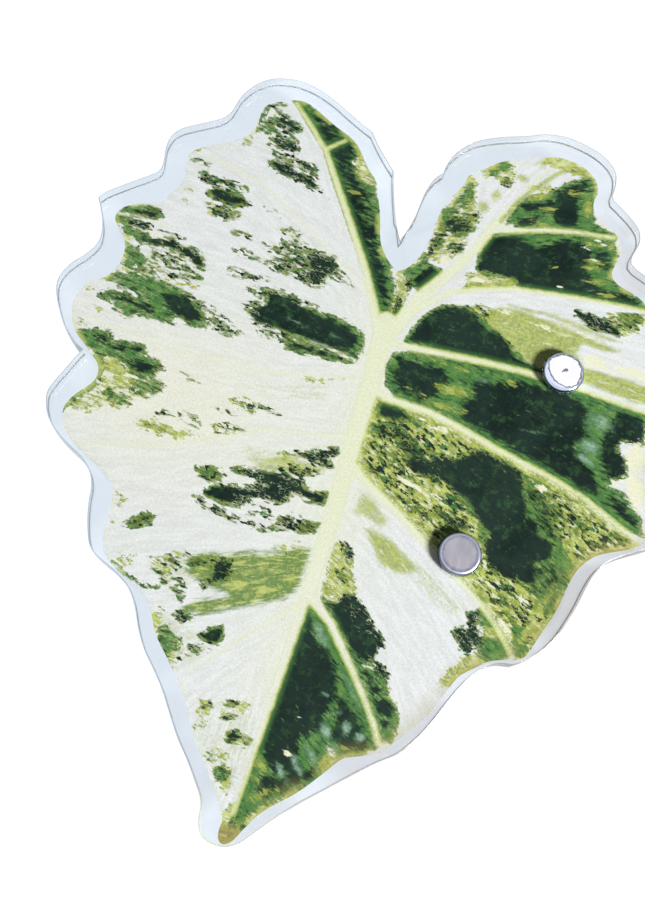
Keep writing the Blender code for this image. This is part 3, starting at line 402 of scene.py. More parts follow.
GREEN_PATCHES = [
    # left lobe
    (1.15, 0.5, [(0.1, 3.2), (-0.8, 3.2), (-2.7, 6.2), (-5.1, 10), (-7.7, 13.8), (-10.1, 17.4), (-12.7, 21.4),
     (-13.7, 23), (-15.7, 25), (-19.4, 28.6), (-18, 28.9), (-15, 28.2), (-12, 26.7), (-10, 25.6), (-9.2, 24),
     (-9.8, 22.6), (-8.6, 20.6), (-6.2, 20), (-5.2, 18.6), (-4.2, 16.4), (-3.5, 14), (-2.8, 12.4),
     (-1.6, 10.9), (-0.2, 8.2), (0.2, 6)]),
    (0.8, 0.3, [(-22.6, 22.6), (-22.3, 24.6), (-22.1, 26.2), (-21.4, 27.2), (-20, 27.5), (-20, 27.8),
     (-21.6, 27.7), (-22.6, 26.8), (-22.9, 25)]),
    (0.55, 0.5, [(-22.4, 23.2), (-21.8, 25), (-20.4, 25), (-19.8, 23.4), (-21, 22.6)]),
    (0.95, 0.5, [(-35.6, 6.6), (-35, 7.6), (-34, 8.3), (-32, 8.8), (-30.6, 8.6), (-30, 8), (-30.6, 7.6),
     (-33.2, 7.1), (-34.6, 7)]),
    (0.95, 0.5, [(-35.7, 6.2), (-34.6, 5.2), (-33.4, 4.3), (-31.8, 3.8), (-30.2, 4.2), (-31, 5.4),
     (-33.5, 5.4), (-34.2, 6.4), (-33, 6.8), (-35, 6.7)]),
    (0.85, 0.5, [(-33.5, 3.3), (-31.6, 3.3), (-30.2, 2.2), (-29.8, 1.2), (-31.4, 0.7), (-32.9, 1.4)]),
    (0.8, 0.5, [(-26.2, 13.2), (-24.6, 14), (-22, 13.7), (-20.6, 12.9), (-22, 12), (-25, 12)]),
    (0.55, 0.4, [(-33.4, 1.6), (-31, 1.2), (-28.6, 1.2), (-28.6, 0), (-31.8, 0.2), (-33.2, 0.6)]),
    # middle
    (1.15, 0.6, [(-15, 2.4), (-10, 2), (-6, 1.9), (-3.6, 1.6), (-2, 0.5), (-1.7, -1.6), (-2.2, -2.7),
     (-5, -2.3), (-8, -2.2), (-11, -2), (-14, -1)]),
    (0.95, 0.4, [(-11.4, -2.4), (-8, -2.5), (-5, -2.6), (-2.4, -3.2), (-6, -3.8), (-10.8, -4)]),
    (1.0, 0.6, [(-34.3, -2.1), (-33, -0.9), (-30.5, -0.3), (-28, -0.1), (-25, -0.6), (-23.6, -1), (-22, -2.4),
     (-20.7, -3), (-20.6, -4.4), (-22.2, -4.5), (-24.4, -4.2), (-24.4, -5), (-27, -5.1), (-29, -5.2),
     (-30.2, -5.9), (-31.8, -5.2), (-32, -4.6), (-34.1, -4.2), (-33.2, -3.2), (-31, -3), (-28.6, -3),
     (-29, -2.6), (-31.6, -2.3)]),
    (1.0, 0.5, [(-35.2, -9.6), (-33.4, -8.5), (-31.2, -8.2), (-30.6, -9.3), (-29.4, -9.1), (-27, -8.8),
     (-26.1, -9.5), (-27, -10), (-25, -10), (-23.5, -10.8), (-24.4, -11.7), (-25, -12.5), (-27.6, -12.3),
     (-29, -11.4), (-31, -11.2), (-32.4, -11.3), (-34, -10.8)]),
    (0.65, 0.5, [(-27.6, -12.4), (-24.6, -12), (-22.7, -12.8), (-23, -13.8), (-24.4, -15), (-26.5, -14.7),
     (-26.8, -13.6)]),
    (0.6, 0.4, [(-29.4, -15.1), (-27, -15.3), (-25.9, -16.2), (-28, -17), (-29.8, -16.2)]),
    (0.9, 0.35, [(-35, -9.7), (-33, -10.9), (-31.6, -12.2), (-31, -13.6), (-30.9, -14.8), (-31.6, -15.8),
     (-33, -17.6), (-33.5, -19.6), (-32.6, -18.2), (-31.4, -16.4), (-30.4, -14.9), (-30.4, -13.4), (-31, -12),
     (-32.4, -10.7)]),
    (0.95, 0.5, [(-14.8, -24.3), (-14, -22.6), (-12, -22.2), (-10.6, -23), (-10.8, -24.3)]),
    (0.9, 0.5, [(-4.4, -19.6), (-1.8, -20), (-0.6, -19.4), (-0.6, -21.2), (-3, -21.2)]),
    (0.7, 0.4, [(-2.6, -23.6), (-0.3, -23.2), (-0.6, -24.6), (-2.4, -25.1)]),
    (0.6, 0.4, [(-16.4, -21), (-13.6, -20.5), (-12.6, -21.4), (-13.8, -22.6), (-16, -22)]),
    # lower left
    (0.85, 0.35, [(-21.9, -34.6), (-20, -35.7), (-18, -36.3), (-16.2, -36.2), (-15.2, -35.1), (-15.6, -35.1),
     (-16.4, -35.8), (-18, -35.9), (-19.8, -35.3)]),
    (0.75, 0.5, [(-14.7, -40.6), (-13.4, -39.5), (-12.6, -40.3), (-11.7, -40.7), (-11.5, -42.2),
     (-12.6, -42.9), (-14, -42)]),
    (0.95, 0.4, [(-9.9, -39.8), (-9, -38.6), (-7.7, -37.9), (-7.2, -38.8), (-7.4, -40), (-8.6, -40.3)]),
    (0.95, 0.3, [(-3.9, -53), (-2.8, -52.4), (-1.9, -53), (-2.1, -54), (-3.2, -54.2)]),
    (0.7, 0.4, [(-20.4, -28), (-18.6, -27.6), (-19, -29.2), (-21, -30.3), (-22.4, -30.3)]),
    # triangle, branch and lower right
    (1.2, 0.6, [(0.5, -32.3), (2, -32.7), (4, -34.6), (7, -37.4), (9.4, -40.3), (11.4, -43.3), (12.8, -45.6),
     (11.4, -47), (9.2, -47.8), (7.7, -47.3), (7.3, -49.8), (7.7, -50.7), (5, -53.2), (2.6, -55.4),
     (0.9, -57.6), (-0.2, -58), (0, -50), (0.3, -42)]),
    (1.0, 0.4, [(2.1, -31.6), (5, -31.6), (9.6, -36.6), (12, -38.6), (12.7, -40.3), (13.9, -41), (14.5, -43),
     (14.2, -44.8), (13.2, -44.6), (11.8, -43), (10, -40.3), (7, -36.7), (4, -33.5)]),
    (1.0, 0.4, [(20, -27), (21.4, -27.9), (22.6, -29), (21, -29.2), (20.4, -29.6)]),
    (1.0, 0.5, [(21.2, -30.6), (23, -30), (24.3, -30.6), (24.9, -31.2), (24, -32.5), (22, -33.1),
     (20.8, -32.4)]),
    (0.9, 0.6, [(14, -9.8), (21, -10.9), (25, -12.2), (26, -15), (28, -17.4), (29.7, -19.4), (29.1, -22.6),
     (28.2, -26), (26.2, -25), (24, -22.6), (20, -22.6), (17, -17.6), (13, -14.6), (11, -13)]),
    (1.0, 0.4, [(23.9, -27.8), (25.4, -27.8), (26.3, -29.4), (26.6, -31), (25.4, -31.6), (24.6, -30)]),
    (0.95, 0.35, [(1.9, -9.7), (4, -9.3), (4, -10.4), (2.2, -11)]),
    (0.95, 0.35, [(1.9, -7.2), (3, -6.6), (5, -6.8), (7, -8), (5, -8.6), (2.4, -8.8)]),
    (0.75, 0.35, [(16, -9.2), (21, -10.3), (26, -11.3), (26, -11.8), (21, -10.9), (16, -9.9)]),
    # between the two right veins
    (1.25, 0.5, [(2.1, -0.6), (4, 0.3), (8, 0.8), (12, 1.5), (18, 1.9), (25, 1.9), (33.5, 1.4), (33.8, -1.6),
     (34.3, -2.5), (31.2, -2.8), (31.2, -4.2), (32.5, -5.2), (33, -6.8), (31.2, -7.9), (31, -8.7),
     (33.5, -9.4), (35.3, -11), (36.5, -13.4), (34, -13.2), (31, -11.9), (28, -10.9), (24, -9.9), (20, -8.8),
     (16, -7.9), (12.4, -6.9), (10, -6.1), (7, -5.8), (4, -5.8), (2.4, -4.6), (1.8, -2.4)]),
    (1.2, 0.4, [(3, 1.4), (3.4, 3.2), (4.7, 6), (6.4, 7.5), (9, 8.1), (11, 7.4), (15, 5.2), (18, 3.4),
     (20.4, 3), (20.4, 2.5), (16, 2.3), (8, 1.5)]),
    (0.6, 0.4, [(27, 13.2), (30.6, 14.1), (30.4, 11.8), (28.4, 11.2)]),
    # right lobe
    (1.2, 0.5, [(8.9, 13.4), (8.7, 16), (9.2, 18.2), (12, 19.5), (16, 20.9), (20, 21.9), (24.4, 22.4),
     (25.4, 20.6), (25.4, 18), (27, 16.8), (30, 15.6), (30.5, 14.6), (25, 14.1), (20, 13.4), (15, 12.6),
     (14.2, 13.4), (12, 13.4)]),
    (1.1, 0.45, [(11, 20.9), (11.5, 23.4), (13, 25.2), (15.4, 26.4), (16.6, 28), (19.4, 30), (20.8, 29.6),
     (21.2, 27), (21.2, 25.2), (22, 24), (24.9, 23.2), (24.7, 22.6), (20, 22.5), (16, 21.6), (13, 20.6)]),
    (1.05, 0.4, [(-0.1, 10.1), (1.6, 11.6), (2.3, 13.4), (3, 12.2), (4.8, 12), (5.2, 10.8), (4.3, 8.7),
     (3.2, 8.1), (2, 8.7), (1, 9.6)]),
    (0.72, 0.4, [(2.5, 13), (3.4, 14), (3.4, 16.4), (3, 18.4), (2.8, 19.6), (3.6, 21), (4.6, 22.6), (5, 24.8),
     (5.8, 24.6), (6, 23), (5.6, 21), (4.6, 19.8), (4.4, 17), (4, 14.6)]),
    (0.7, 0.5, [(2.8, 18.4), (4, 19.8), (6.6, 20.2), (7.6, 18.4), (6.4, 16.8), (4, 16.8)]),
    (0.95, 0.3, [(7.5, 28.6), (8.8, 29), (9.9, 28.4), (9, 27.5), (7.8, 27.7)]),
    (0.42, 0.3, [(-3, -59.6), (0.8, -59), (0.4, -60.3), (-1, -61.2), (-2.8, -61)]),
    (0.9, 0.3, [(6.9, 27.2), (8, 27.5), (8.5, 26.6), (7.4, 26.4)]),
]

LIME_PATCHES = [
    # along the border, at the right
    (1.05, 0.4, [(37.4, -14.4), (38, -16.6), (33.4, -19.4), (31.2, -22.4), (30.4, -26.2), (28.8, -30.4),
     (27, -33.6), (25, -32.8), (26.4, -29.4), (27.6, -26), (28.4, -22.4), (29.2, -19.2), (30.8, -17),
     (33, -15.8), (36, -15)]),
    (0.95, 0.4, [(25.2, -33.4), (22, -36), (17.6, -37.4), (18.4, -35), (21, -33.8), (24, -32.2)]),
    (0.95, 0.35, [(-9.9, 25.2), (-8.6, 23.8), (-7.3, 22.5), (-6, 21.1), (-5.9, 20), (-8.4, 20.3),
     (-9.4, 22)]),
    (0.6, 0.3, [(-24, 20.6), (-23, 20.4), (-22.4, 21), (-23, 22.2), (-22, 23), (-22.4, 23.2), (-23.6, 22)]),
    (0.65, 0.4, [(-29.4, 16.4), (-29.2, 17.6), (-28, 18.6), (-28.2, 18.8), (-29.5, 17.9), (-29.9, 16.6)]),
    (0.55, 0.4, [(-29, 13), (-28, 12.8), (-27.6, 12.2), (-28.8, 12.1)]),
    (0.5, 0.4, [(-28.8, 11.4), (-28, 11), (-27.6, 10), (-28.6, 10.2)]),
    (0.55, 0.4, [(-16.6, 11), (-14.6, 11.7), (-12.8, 11.3), (-13.2, 10.4), (-15.4, 10.2)]),
    (0.5, 0.6, [(-25.8, 11.4), (-23.4, 12), (-21, 11.6), (-21.2, 10.5), (-23, 9.8), (-25, 10.2)]),
    (0.7, 0.5, [(-35.8, 6), (-34, 4.4), (-33.6, 3.2), (-32.8, 1.2), (-32.4, 2), (-33, 3.6), (-32, 4.2)]),
    (0.5, 0.6, [(-33.4, 0.6), (-30, 1), (-26, 1), (-23, 0.6), (-24, -0.8), (-30, 0), (-33.2, -0.8)]),
    (0.5, 0.5, [(-36.2, -3.4), (-35.4, -3.3), (-34.8, -4), (-36, -4.1)]),
    (0.55, 0.4, [(-35, -5.4), (-33, -5.9), (-33.4, -6.4), (-35, -6.1)]),
    (0.6, 0.4, [(-35.6, -7.8), (-34, -8), (-33.8, -8.6), (-35.2, -8.7)]),
    (0.95, 0.5, [(-32.4, -11.2), (-30, -10.6), (-28, -11.6), (-26, -12.4), (-26, -13.6), (-28.6, -13.6),
     (-31, -13.4)]),
    (0.62, 0.6, [(-31, -13.2), (-27, -13.4), (-24, -12.6), (-23, -14), (-25.6, -15), (-30.4, -15)]),
    (0.62, 0.5, [(-31.4, -15.2), (-28, -14.8), (-25.8, -15.8), (-26.4, -17), (-29, -17.2), (-32.4, -17.4)]),
    (0.6, 0.4, [(-33.2, -17.4), (-31.6, -17), (-29, -17.4), (-30.4, -18.8), (-33.2, -18.6)]),
    (0.55, 0.4, [(-13.6, -11.2), (-11.8, -11.6), (-11.6, -13), (-14, -12.8), (-15.4, -12)]),
    (0.8, 0.5, [(-24.9, -17.9), (-22, -17.1), (-19.4, -17.3), (-16.6, -17.4), (-19.4, -18.7), (-22, -18.9),
     (-24, -18.6)]),
    (0.55, 0.4, [(-16.4, -15.8), (-14.4, -14.9), (-11.4, -14.9), (-13.2, -16), (-15.4, -16.8)]),
    (0.8, 0.3, [(-7.4, -6.6), (-6, -6.3), (-4.8, -6.2), (-4.8, -7), (-7, -7)]),
    (0.6, 0.2, [(-5, -6.2), (-3, -5.4), (-1.6, -4.9), (-1.6, -5.1), (-3, -5.8)]),
    (0.8, 0.5, [(-7.8, -17), (-6.6, -16.2), (-5, -16.6), (-5.6, -17.4)]),
    (0.5, 0.6, [(-0.8, -25.7), (-3, -26.4), (-5.8, -28.3), (-8.6, -29), (-5, -28.8), (-1, -27.6)]),
    (0.6, 0.4, [(-21.8, -34.4), (-21.4, -33.2), (-19.6, -33), (-19.6, -34.2), (-20.4, -34.8)]),
    (0.5, 0.5, [(-18, -33), (-15.6, -31.4), (-13.8, -31), (-15, -34.6), (-16.6, -34.8)]),
    (0.68, 0.5, [(-16.1, -38.4), (-14.6, -37.9), (-14.2, -39.6), (-11.4, -40.8), (-11, -43.6), (-12, -44.4),
     (-14, -42.5), (-15.5, -40.4)]),
    (0.6, 0.4, [(-24.2, -26.6), (-22.6, -27.2), (-23, -28.6), (-23.8, -28.2)]),
    (0.6, 0.3, [(-23.8, -30), (-22.6, -30), (-23, -30.6), (-23.8, -30.5)]),
    (0.6, 0.4, [(-7.5, -46.4), (-6, -46.4), (-6.2, -50.2), (-7.4, -49.4)]),
    (0.6, 0.4, [(-5, -45.6), (-3, -45.3), (-1.2, -44.6), (-3.4, -47.8), (-5, -47.6)]),
    (0.6, 0.4, [(-3.8, -48.8), (-0.4, -48.6), (-0.5, -50), (-3.4, -50)]),
    (0.65, 0.4, [(-5.4, -52), (-4, -50.8), (-2.8, -51.2), (-1.6, -52.8), (-1.6, -55.4), (-2.6, -54.6),
     (-4, -53.2)]),
    (0.9, 0.35, [(-1.3, -57), (-0.9, -56), (-0.3, -55.8), (-0.2, -58.6), (-1, -58.4)]),
    (1.15, 0.4, [(-2, -57.6), (1.5, -57), (2.2, -58.4), (0.6, -60), (-1.4, -61), (-3, -60.6), (-2.4, -59)]),
    (1.0, 0.5, [(0.2, -50.8), (1.6, -51), (2.4, -52.2), (0.6, -52.8)]),
    (1.0, 0.4, [(0.2, -55), (2.4, -55.2), (5, -53), (7.6, -50.6), (7.8, -51.2), (4.8, -54.2), (2, -57),
     (0.4, -58.8), (-0.6, -58.6)]),
    (0.9, 0.4, [(7.2, -47.6), (9.8, -47.8), (8.9, -49.2), (7.7, -50.8), (7.1, -50)]),
    (0.9, 0.4, [(1.8, -25.2), (2.6, -24.3), (4.4, -26), (4.6, -27.4), (6, -29.6), (4.6, -31.7), (2.1, -31.7),
     (1.8, -28)]),
    (0.85, 0.3, [(8, -37), (9.8, -37), (10.4, -38.2), (9, -38.2)]),
    (0.7, 0.4, [(9.8, -38.2), (12.4, -39), (14.4, -41.6), (14.6, -44.4), (13, -45.4), (11, -42)]),
    (0.9, 0.4, [(19.4, -33.2), (21, -32.4), (24.6, -32.2), (23, -33.6), (21, -34.8), (19.2, -35)]),
    (0.95, 0.4, [(20.6, -28.6), (22.6, -28.8), (24.6, -31), (22.4, -31.2), (21, -30.6)]),
    (1.15, 0.6, [(1.5, -6.4), (8, -6.7), (12, -7.4), (16, -8.4), (20, -9.3), (25, -10.4), (29, -11.6),
     (32, -12.9), (35, -14.2), (36.6, -15), (33, -16.4), (31.3, -17.7), (29.9, -19.7), (29.2, -22.6),
     (28.3, -26.2), (27, -29.6), (26, -31.8), (24.4, -30.2), (22, -28), (19, -25.9), (16, -24), (12, -21.4),
     (8, -18.9), (3, -16.2), (1.5, -14.8)]),
    (1.1, 0.3, [(8.3, -3.1), (9.2, -2.3), (11, -2.1), (12.9, -3), (11.6, -3.6), (10, -4), (8.6, -3.7)]),
    (0.7, 0.4, [(7.2, -4.6), (11.4, -4), (12.2, -5.4), (11.8, -6.6), (9, -6.2), (8, -5.3)]),
    (0.7, 0.3, [(6.4, 0.5), (9.2, 0.5), (8, -0.6), (6.6, -0.4)]),
    (0.95, 0.2, [(16.6, 0.9), (18, 1), (18.3, 0.1), (17, 0.2)]),
    (0.85, 0.4, [(26, 12.6), (28, 13.4), (30.8, 14), (30.4, 11.4), (28.4, 10.4), (26.4, 11.4)]),
    (0.95, 0.4, [(7.9, 12.4), (9.4, 12.9), (12, 13.7), (14.2, 14.2), (14.6, 12.5), (12, 11.7), (9, 10.3),
     (7.4, 9.4), (8.2, 11)]),
    (0.9, 0.4, [(9.6, 8.2), (10.6, 8.9), (12.6, 8.6), (12.4, 7), (10.6, 7.2)]),
    (0.95, 0.4, [(12.4, 26.2), (14.6, 26.3), (16.2, 26.9), (15, 27.5), (13.4, 27)]),
    (1.0, 0.4, [(13.2, 30.2), (14.6, 31.6), (17.6, 31.5), (19.6, 30.8), (20.8, 29.4), (19.6, 29.6),
     (18, 29.8), (15.4, 30)]),
    (0.85, 0.4, [(14.4, 21.7), (16.2, 21.9), (16.6, 23.4), (15.4, 25.4), (14.8, 23.4)]),
    (0.8, 0.4, [(10.9, 20.3), (12.2, 20.6), (12.8, 22), (11.4, 22.4)]),
    (0.9, 0.4, [(23.6, 22.2), (25.4, 22), (25.9, 19), (25.2, 18.6), (24.4, 20.4), (22.8, 21.4)]),
    (0.75, 0.5, [(2.5, 13), (2.7, 19.6), (4, 22.8), (4.8, 25.8), (6, 25.2), (6.4, 22.6), (7.8, 21),
     (7.6, 18.4), (7, 16.8), (6.8, 14.8), (4.6, 12.8)]),
    (0.8, 0.4, [(5.9, 26.8), (7.4, 28.6), (8.8, 29.2), (10.2, 28.4), (10.8, 26.4), (9, 25.2), (8, 26.4),
     (6.6, 25.8)]),
    (0.95, 0.3, [(-0.4, 10), (0.6, 9.6), (1.6, 8.6), (1.7, 6.6), (1.3, 4), (0.4, 2.8), (-0.1, 4.6),
     (0.2, 7.6)]),
]

OLIVE_PATCHES = [
    (1.25, 0.6, [(11, 6.6), (11.6, 8.2), (13, 9.4), (17, 9.7), (21, 9.2), (25, 8.9), (28.6, 8.3), (27.6, 7.8),
     (24, 7.9), (23.4, 6.4), (25, 4.9), (28, 4.9), (33.5, 4.9), (34.4, 3), (32, 2.5), (26, 3), (20, 3.1),
     (17, 3.6), (15.6, 4.8), (13, 5.7)]),
    (0.8, 0.35, [(13.6, 10), (16, 10.4), (20, 10.6), (24, 10.2), (29, 9.5), (28.4, 9.1), (24, 9.4), (20, 9.9),
     (15, 9.7)]),
    (0.75, 0.5, [(3, -18.2), (5, -18.8), (7.2, -20.6), (6.6, -21.8), (3, -20.8)]),
    (0.9, 0.5, [(4.4, -22), (8, -22.6), (11, -24.3), (12.6, -25.4), (9.6, -26.4), (7.6, -25.9), (6, -24)]),
    (0.45, 0.8, [(11, -23.6), (15, -25.6), (19, -28), (17, -29.6), (12, -27)]),
    (0.8, 0.5, [(-8.4, -17.4), (-6.6, -16.4), (-4, -16.8), (-1.4, -16.4), (-2.4, -18), (-5, -18.8),
     (-9, -19.2), (-10.8, -18.4)]),
    (0.4, 0.6, [(-12, -16.6), (-6, -16), (-3, -14.4), (-5, -17), (-10.8, -19)]),
    (0.95, 0.4, [(8.2, 23.8), (8.8, 24.7), (9.6, 23.9), (8.9, 23)]),
    (0.85, 0.5, [(6.6, 22.2), (7.8, 22.8), (8.8, 21.6), (7.4, 20.8)]),
    (0.95, 0.4, [(10.6, 27.4), (11.6, 28), (12.4, 27.2), (11.2, 26.6)]),
    (0.7, 0.5, [(12, 29.6), (13.8, 31), (14.2, 29.4)]),
    (0.35, 1.0, [(-30, 5.4), (-23, 4.8), (-22, 0.6), (-32, 0.4)]),
    (0.35, 1.0, [(-32, -13), (-24, -12.6), (-24.6, -15.4), (-28, -17.6), (-33, -18.4)]),
    (0.3, 1.0, [(-17.6, 8.6), (-12, 11.4), (-6, 9), (-8, 4.6), (-17, 5.4)]),
    (0.3, 1.2, [(-21.6, 22), (-13, 20.4), (-12.6, 18.6), (-20, 18.4)]),
    (0.35, 1.0, [(-13, -9.4), (-4, -6.6), (-4, -9.4), (-12, -10.4)]),
    (0.4, 0.8, [(-19, -33), (-13, -30.4), (-11, -29.8), (-13, -37), (-16, -35.6)]),
    (0.4, 0.8, [(-16.6, -38.4), (-10.8, -38.6), (-8, -41), (-11, -44.4), (-14, -42.8)]),
    (0.35, 0.8, [(-8, -46), (-1, -44.4), (-0.4, -54.8), (-2.2, -55.6), (-7, -50.4)]),
]

# Silky green with soft streaks
MEADOW = [
    (1.0, 0.9, [(-0.6, -26.6), (-3, -27.4), (-5.8, -28.6), (-9, -29.4), (-12, -30.4), (-13.9, -32),
     (-12.8, -33.8), (-9.8, -34), (-8, -34.4), (-9.4, -35.2), (-12, -36), (-13, -37.9), (-10, -37.4),
     (-7.6, -36), (-5, -34.7), (-2, -33.1), (-0.5, -31)]),
]

# Cream holes and ticks inside the green: place, half length, half width, tilt in degrees, strength
CREAM_FLECKS = [
    (-21.4, 26, 0.5, 0.3, -30, 0.9), (-20, 25.7, 0.7, 0.16, -15, 0.9), (-8.2, 22.2, 0.6, 0.3, -40, 0.9),
    (-30, 5.4, 1.6, 0.2, -5, 0.9), (-4.2, -2.5, 2.0, 0.13, -10, 0.9), (-27, -12.9, 1.2, 0.25, -5, 0.8),
    (3.5, -49.2, 0.55, 0.35, -40, 1.0), (3.6, -45.2, 0.35, 0.14, 10, 0.9), (9.6, -37.6, 0.8, 0.18, 0, 0.9),
    (19.6, 14.3, 0.4, 0.14, 10, 0.9), (21.6, 20.5, 0.8, 0.2, 5, 0.9), (23, 19.2, 0.8, 0.14, 10, 0.8),
    (23.6, 21.6, 0.9, 0.2, 5, 0.8), (22.6, 21.9, 0.6, 0.14, 5, 0.8), (9.4, 12, 0.9, 0.4, 20, 0.9),
    (12.2, 13, 1.2, 0.2, 20, 0.6), (14, 9, 1.4, 0.25, 0, 0.8), (19, 8.5, 1.6, 0.3, -5, 0.8),
    (24, 9, 2.4, 0.16, -12, 0.8), (16, 7, 1.6, 0.14, 0, 0.6), (26.2, 6, 1.8, 0.9, 0, 0.9),
    (31, 6, 3.0, 0.8, 0, 0.9), (4.8, 13.4, 0.6, 0.7, 0, 0.9), (8.4, -15.6, 1.8, 0.3, -15, 1.0),
    (11.4, -16, 1.4, 0.2, -15, 0.8), (23.6, -11.4, 0.7, 0.4, -20, 1.0), (10, -8, 1.2, 0.3, 5, 0.8),
    (7.4, -7.6, 0.8, 0.2, 0, 0.8), (24.6, -25, 0.9, 0.3, -20, 0.9), (23.4, -28.6, 1.6, 0.3, -45, 0.9),
    (3.4, -31.2, 0.6, 0.14, -30, 0.8), (20.6, -24.4, 1.0, 0.3, -20, 0.7), (33.6, -4.4, 1.2, 1.8, 0, 1.0),
    (34.6, -8.4, 1.2, 2.2, 20, 1.0), (32, -8.2, 0.8, 0.24, -20, 0.9),
]

# Lime flecks on top of the green
LIME_FLECKS = [
    (10.3, -2.8, 1.7, 0.6, 5, 1.1), (7.0, 0.2, 2.0, 0.25, 0, 0.75), (10.5, 0.1, 1.6, 0.22, -3, 0.7),
    (16.8, 0.3, 0.8, 0.25, -20, 1.0), (10, -5.2, 2.4, 0.5, 0, 0.75), (6, -4.4, 1.4, 0.3, -10, 0.6),
    (22.6, 18, 1.2, 0.3, 10, 0.8), (24, 16.4, 1.5, 0.35, 10, 0.75), (25.6, 15, 1.6, 0.4, 5, 0.8),
    (-9.9, 17.2, 1.2, 0.3, 20, 0.65), (-8.4, 18.6, 0.9, 0.3, 10, 0.7), (15.6, 24.2, 1.2, 0.3, 15, 0.8),
    (18.6, 27.4, 1.6, 0.35, 10, 0.8), (22.4, 21.2, 1.3, 0.3, 5, 0.75), (17, 21.9, 1.6, 0.3, 5, 0.7),
    (14.2, 25.5, 1.4, 0.45, 25, 0.95), (15.3, 21.9, 1.3, 0.4, 5, 0.9), (20.5, 26, 0.5, 1.3, 10, 0.85),
    (24.4, 21.6, 0.5, 0.6, 0, 0.9), (23, 18.9, 1.0, 0.3, 10, 0.9), (18, 16.6, 0.8, 0.2, 5, 0.7),
    (27, -24.4, 0.5, 2.2, -20, 0.8), (26, -28.4, 0.6, 2.0, -25, 0.9), (29.6, -18.6, 2.0, 0.5, -30, 0.8),
    (7.9, -48.9, 1.5, 0.6, 80, 0.85), (1.1, -51.2, 1.1, 0.5, -35, 0.95), (1.2, -53, 0.9, 0.35, -30, 0.8),
    (1.6, -54.6, 1.0, 0.6, 40, 0.7), (3.2, -53.4, 1.2, 0.4, 35, 0.6), (9.4, -46.8, 1.0, 0.4, 10, 0.7),
]

# Pale haze over the dark green
HAZE = [
    (28.4, -1.3, 1.9, 1.1, 0, 0.9), (28, -4.7, 1.4, 0.9, -10, 0.9), (27.8, -6.5, 1.2, 0.4, -20, 1.3),
    (3.3, -35.6, 1.8, 0.55, -45, 0.9), (8.5, -40.6, 3.0, 0.4, -48, 0.7), (10.7, -45.2, 0.6, 0.5, 0, 1.2),
    (9, -44.8, 0.9, 0.45, -80, 1.1), (6.8, -45.6, 0.9, 0.45, -60, 1.2), (6.1, -48.7, 1.6, 0.42, -46, 0.9),
    (4.7, -50, 1.4, 0.4, -46, 1.0), (8.2, -46.9, 1.0, 0.6, -50, 0.6), (3.3, -51.2, 0.9, 0.35, -50, 1.2),
    (4.4, -52.2, 0.7, 0.3, -46, 0.8), (5.7, -41.8, 0.5, 0.35, 0, 0.8), (7.7, -43.4, 0.6, 0.4, 0, 0.6),
    (1.4, -53, 0.7, 0.3, -40, 0.7), (20.6, -5, 1.8, 0.2, 5, 0.7), (13.4, -0.6, 1.4, 0.5, 0, 0.6),
    (24, -17, 2.4, 0.3, -25, 0.4), (21, -15, 2.4, 0.4, -25, 0.35), (23.6, 15.2, 1.0, 0.4, 10, 0.6),
    (22.4, 16.2, 0.8, 0.5, 0, 0.5), (12.8, 17, 1.4, 0.4, -15, 0.5), (8, 4.6, 1.6, 0.3, 10, 0.5),
    (-10, -0.4, 3.5, 0.5, -12, 0.5), (-5.5, -0.6, 2.0, 0.6, -10, 0.45), (-12, 1.2, 2.0, 0.4, -14, 0.4),
    (25, 1.2, 4.0, 0.4, 0, 0.4), (30, 1.2, 1.4, 0.6, 0, 0.6), (-1.2, -53.4, 0.7, 1.0, 0, 0.5),
]

MIDRIB = BOLD_VEINS[0][0] + [(0.2, -42)]
WARM_AREA = [(-22, -14, 14, 9, 0, 1.0)]

# The values that the print's mesh keeps
VEIN_TONES = {"vein_gap": BOLD_VEINS, "faint_gap": FAINT_VEINS, "lime_gap": LIME_VEINS}
PATCH_TONES = {"dark": DARK_PATCHES, "green": GREEN_PATCHES, "lime": LIME_PATCHES, "olive": OLIVE_PATCHES,
               "meadow": MEADOW}
FLECK_TONES = {"cream": CREAM_FLECKS, "lime_fleck": LIME_FLECKS, "haze": HAZE, "warm": WARM_AREA}


class SheetSettings(bpy.types.PropertyGroup):
    """Sizes and finish of the clear sheet"""
    edge: size_prop("Edge", "Width of the softened cut edge", 0.00012, 0.0, 0.0005)
    cut_roughness: share_prop("Cut roughness", "How frosted the laser-cut wall is", 0.10)
    cut_light: colour_prop("Cut light", "Light that the laser-cut wall lets through", (0.60, 0.63, 0.68))
    edge_roughness: share_prop("Edge roughness", "How frosted the rounded edges are", 0.3)
    # painted shade: the cut wall at the right and the rounded edges are tinted darker than the clear sheet,
    # browner at the right
    far_wall_shade: colour_prop("Far wall tint", "Colour of the cut wall at the right", (0.66, 0.66, 0.73))
    edge_shade: colour_prop("Edge tint", "Colour of the sheet's rounded edges", (0.42, 0.50, 0.58))
    far_edge_shade: colour_prop("Far edge tint", "Colour of the rounded edges at the right", (0.34, 0.30, 0.27))
    tint: colour_prop("Tint", "Colour of the clear acrylic", (0.955, 0.975, 1.0))


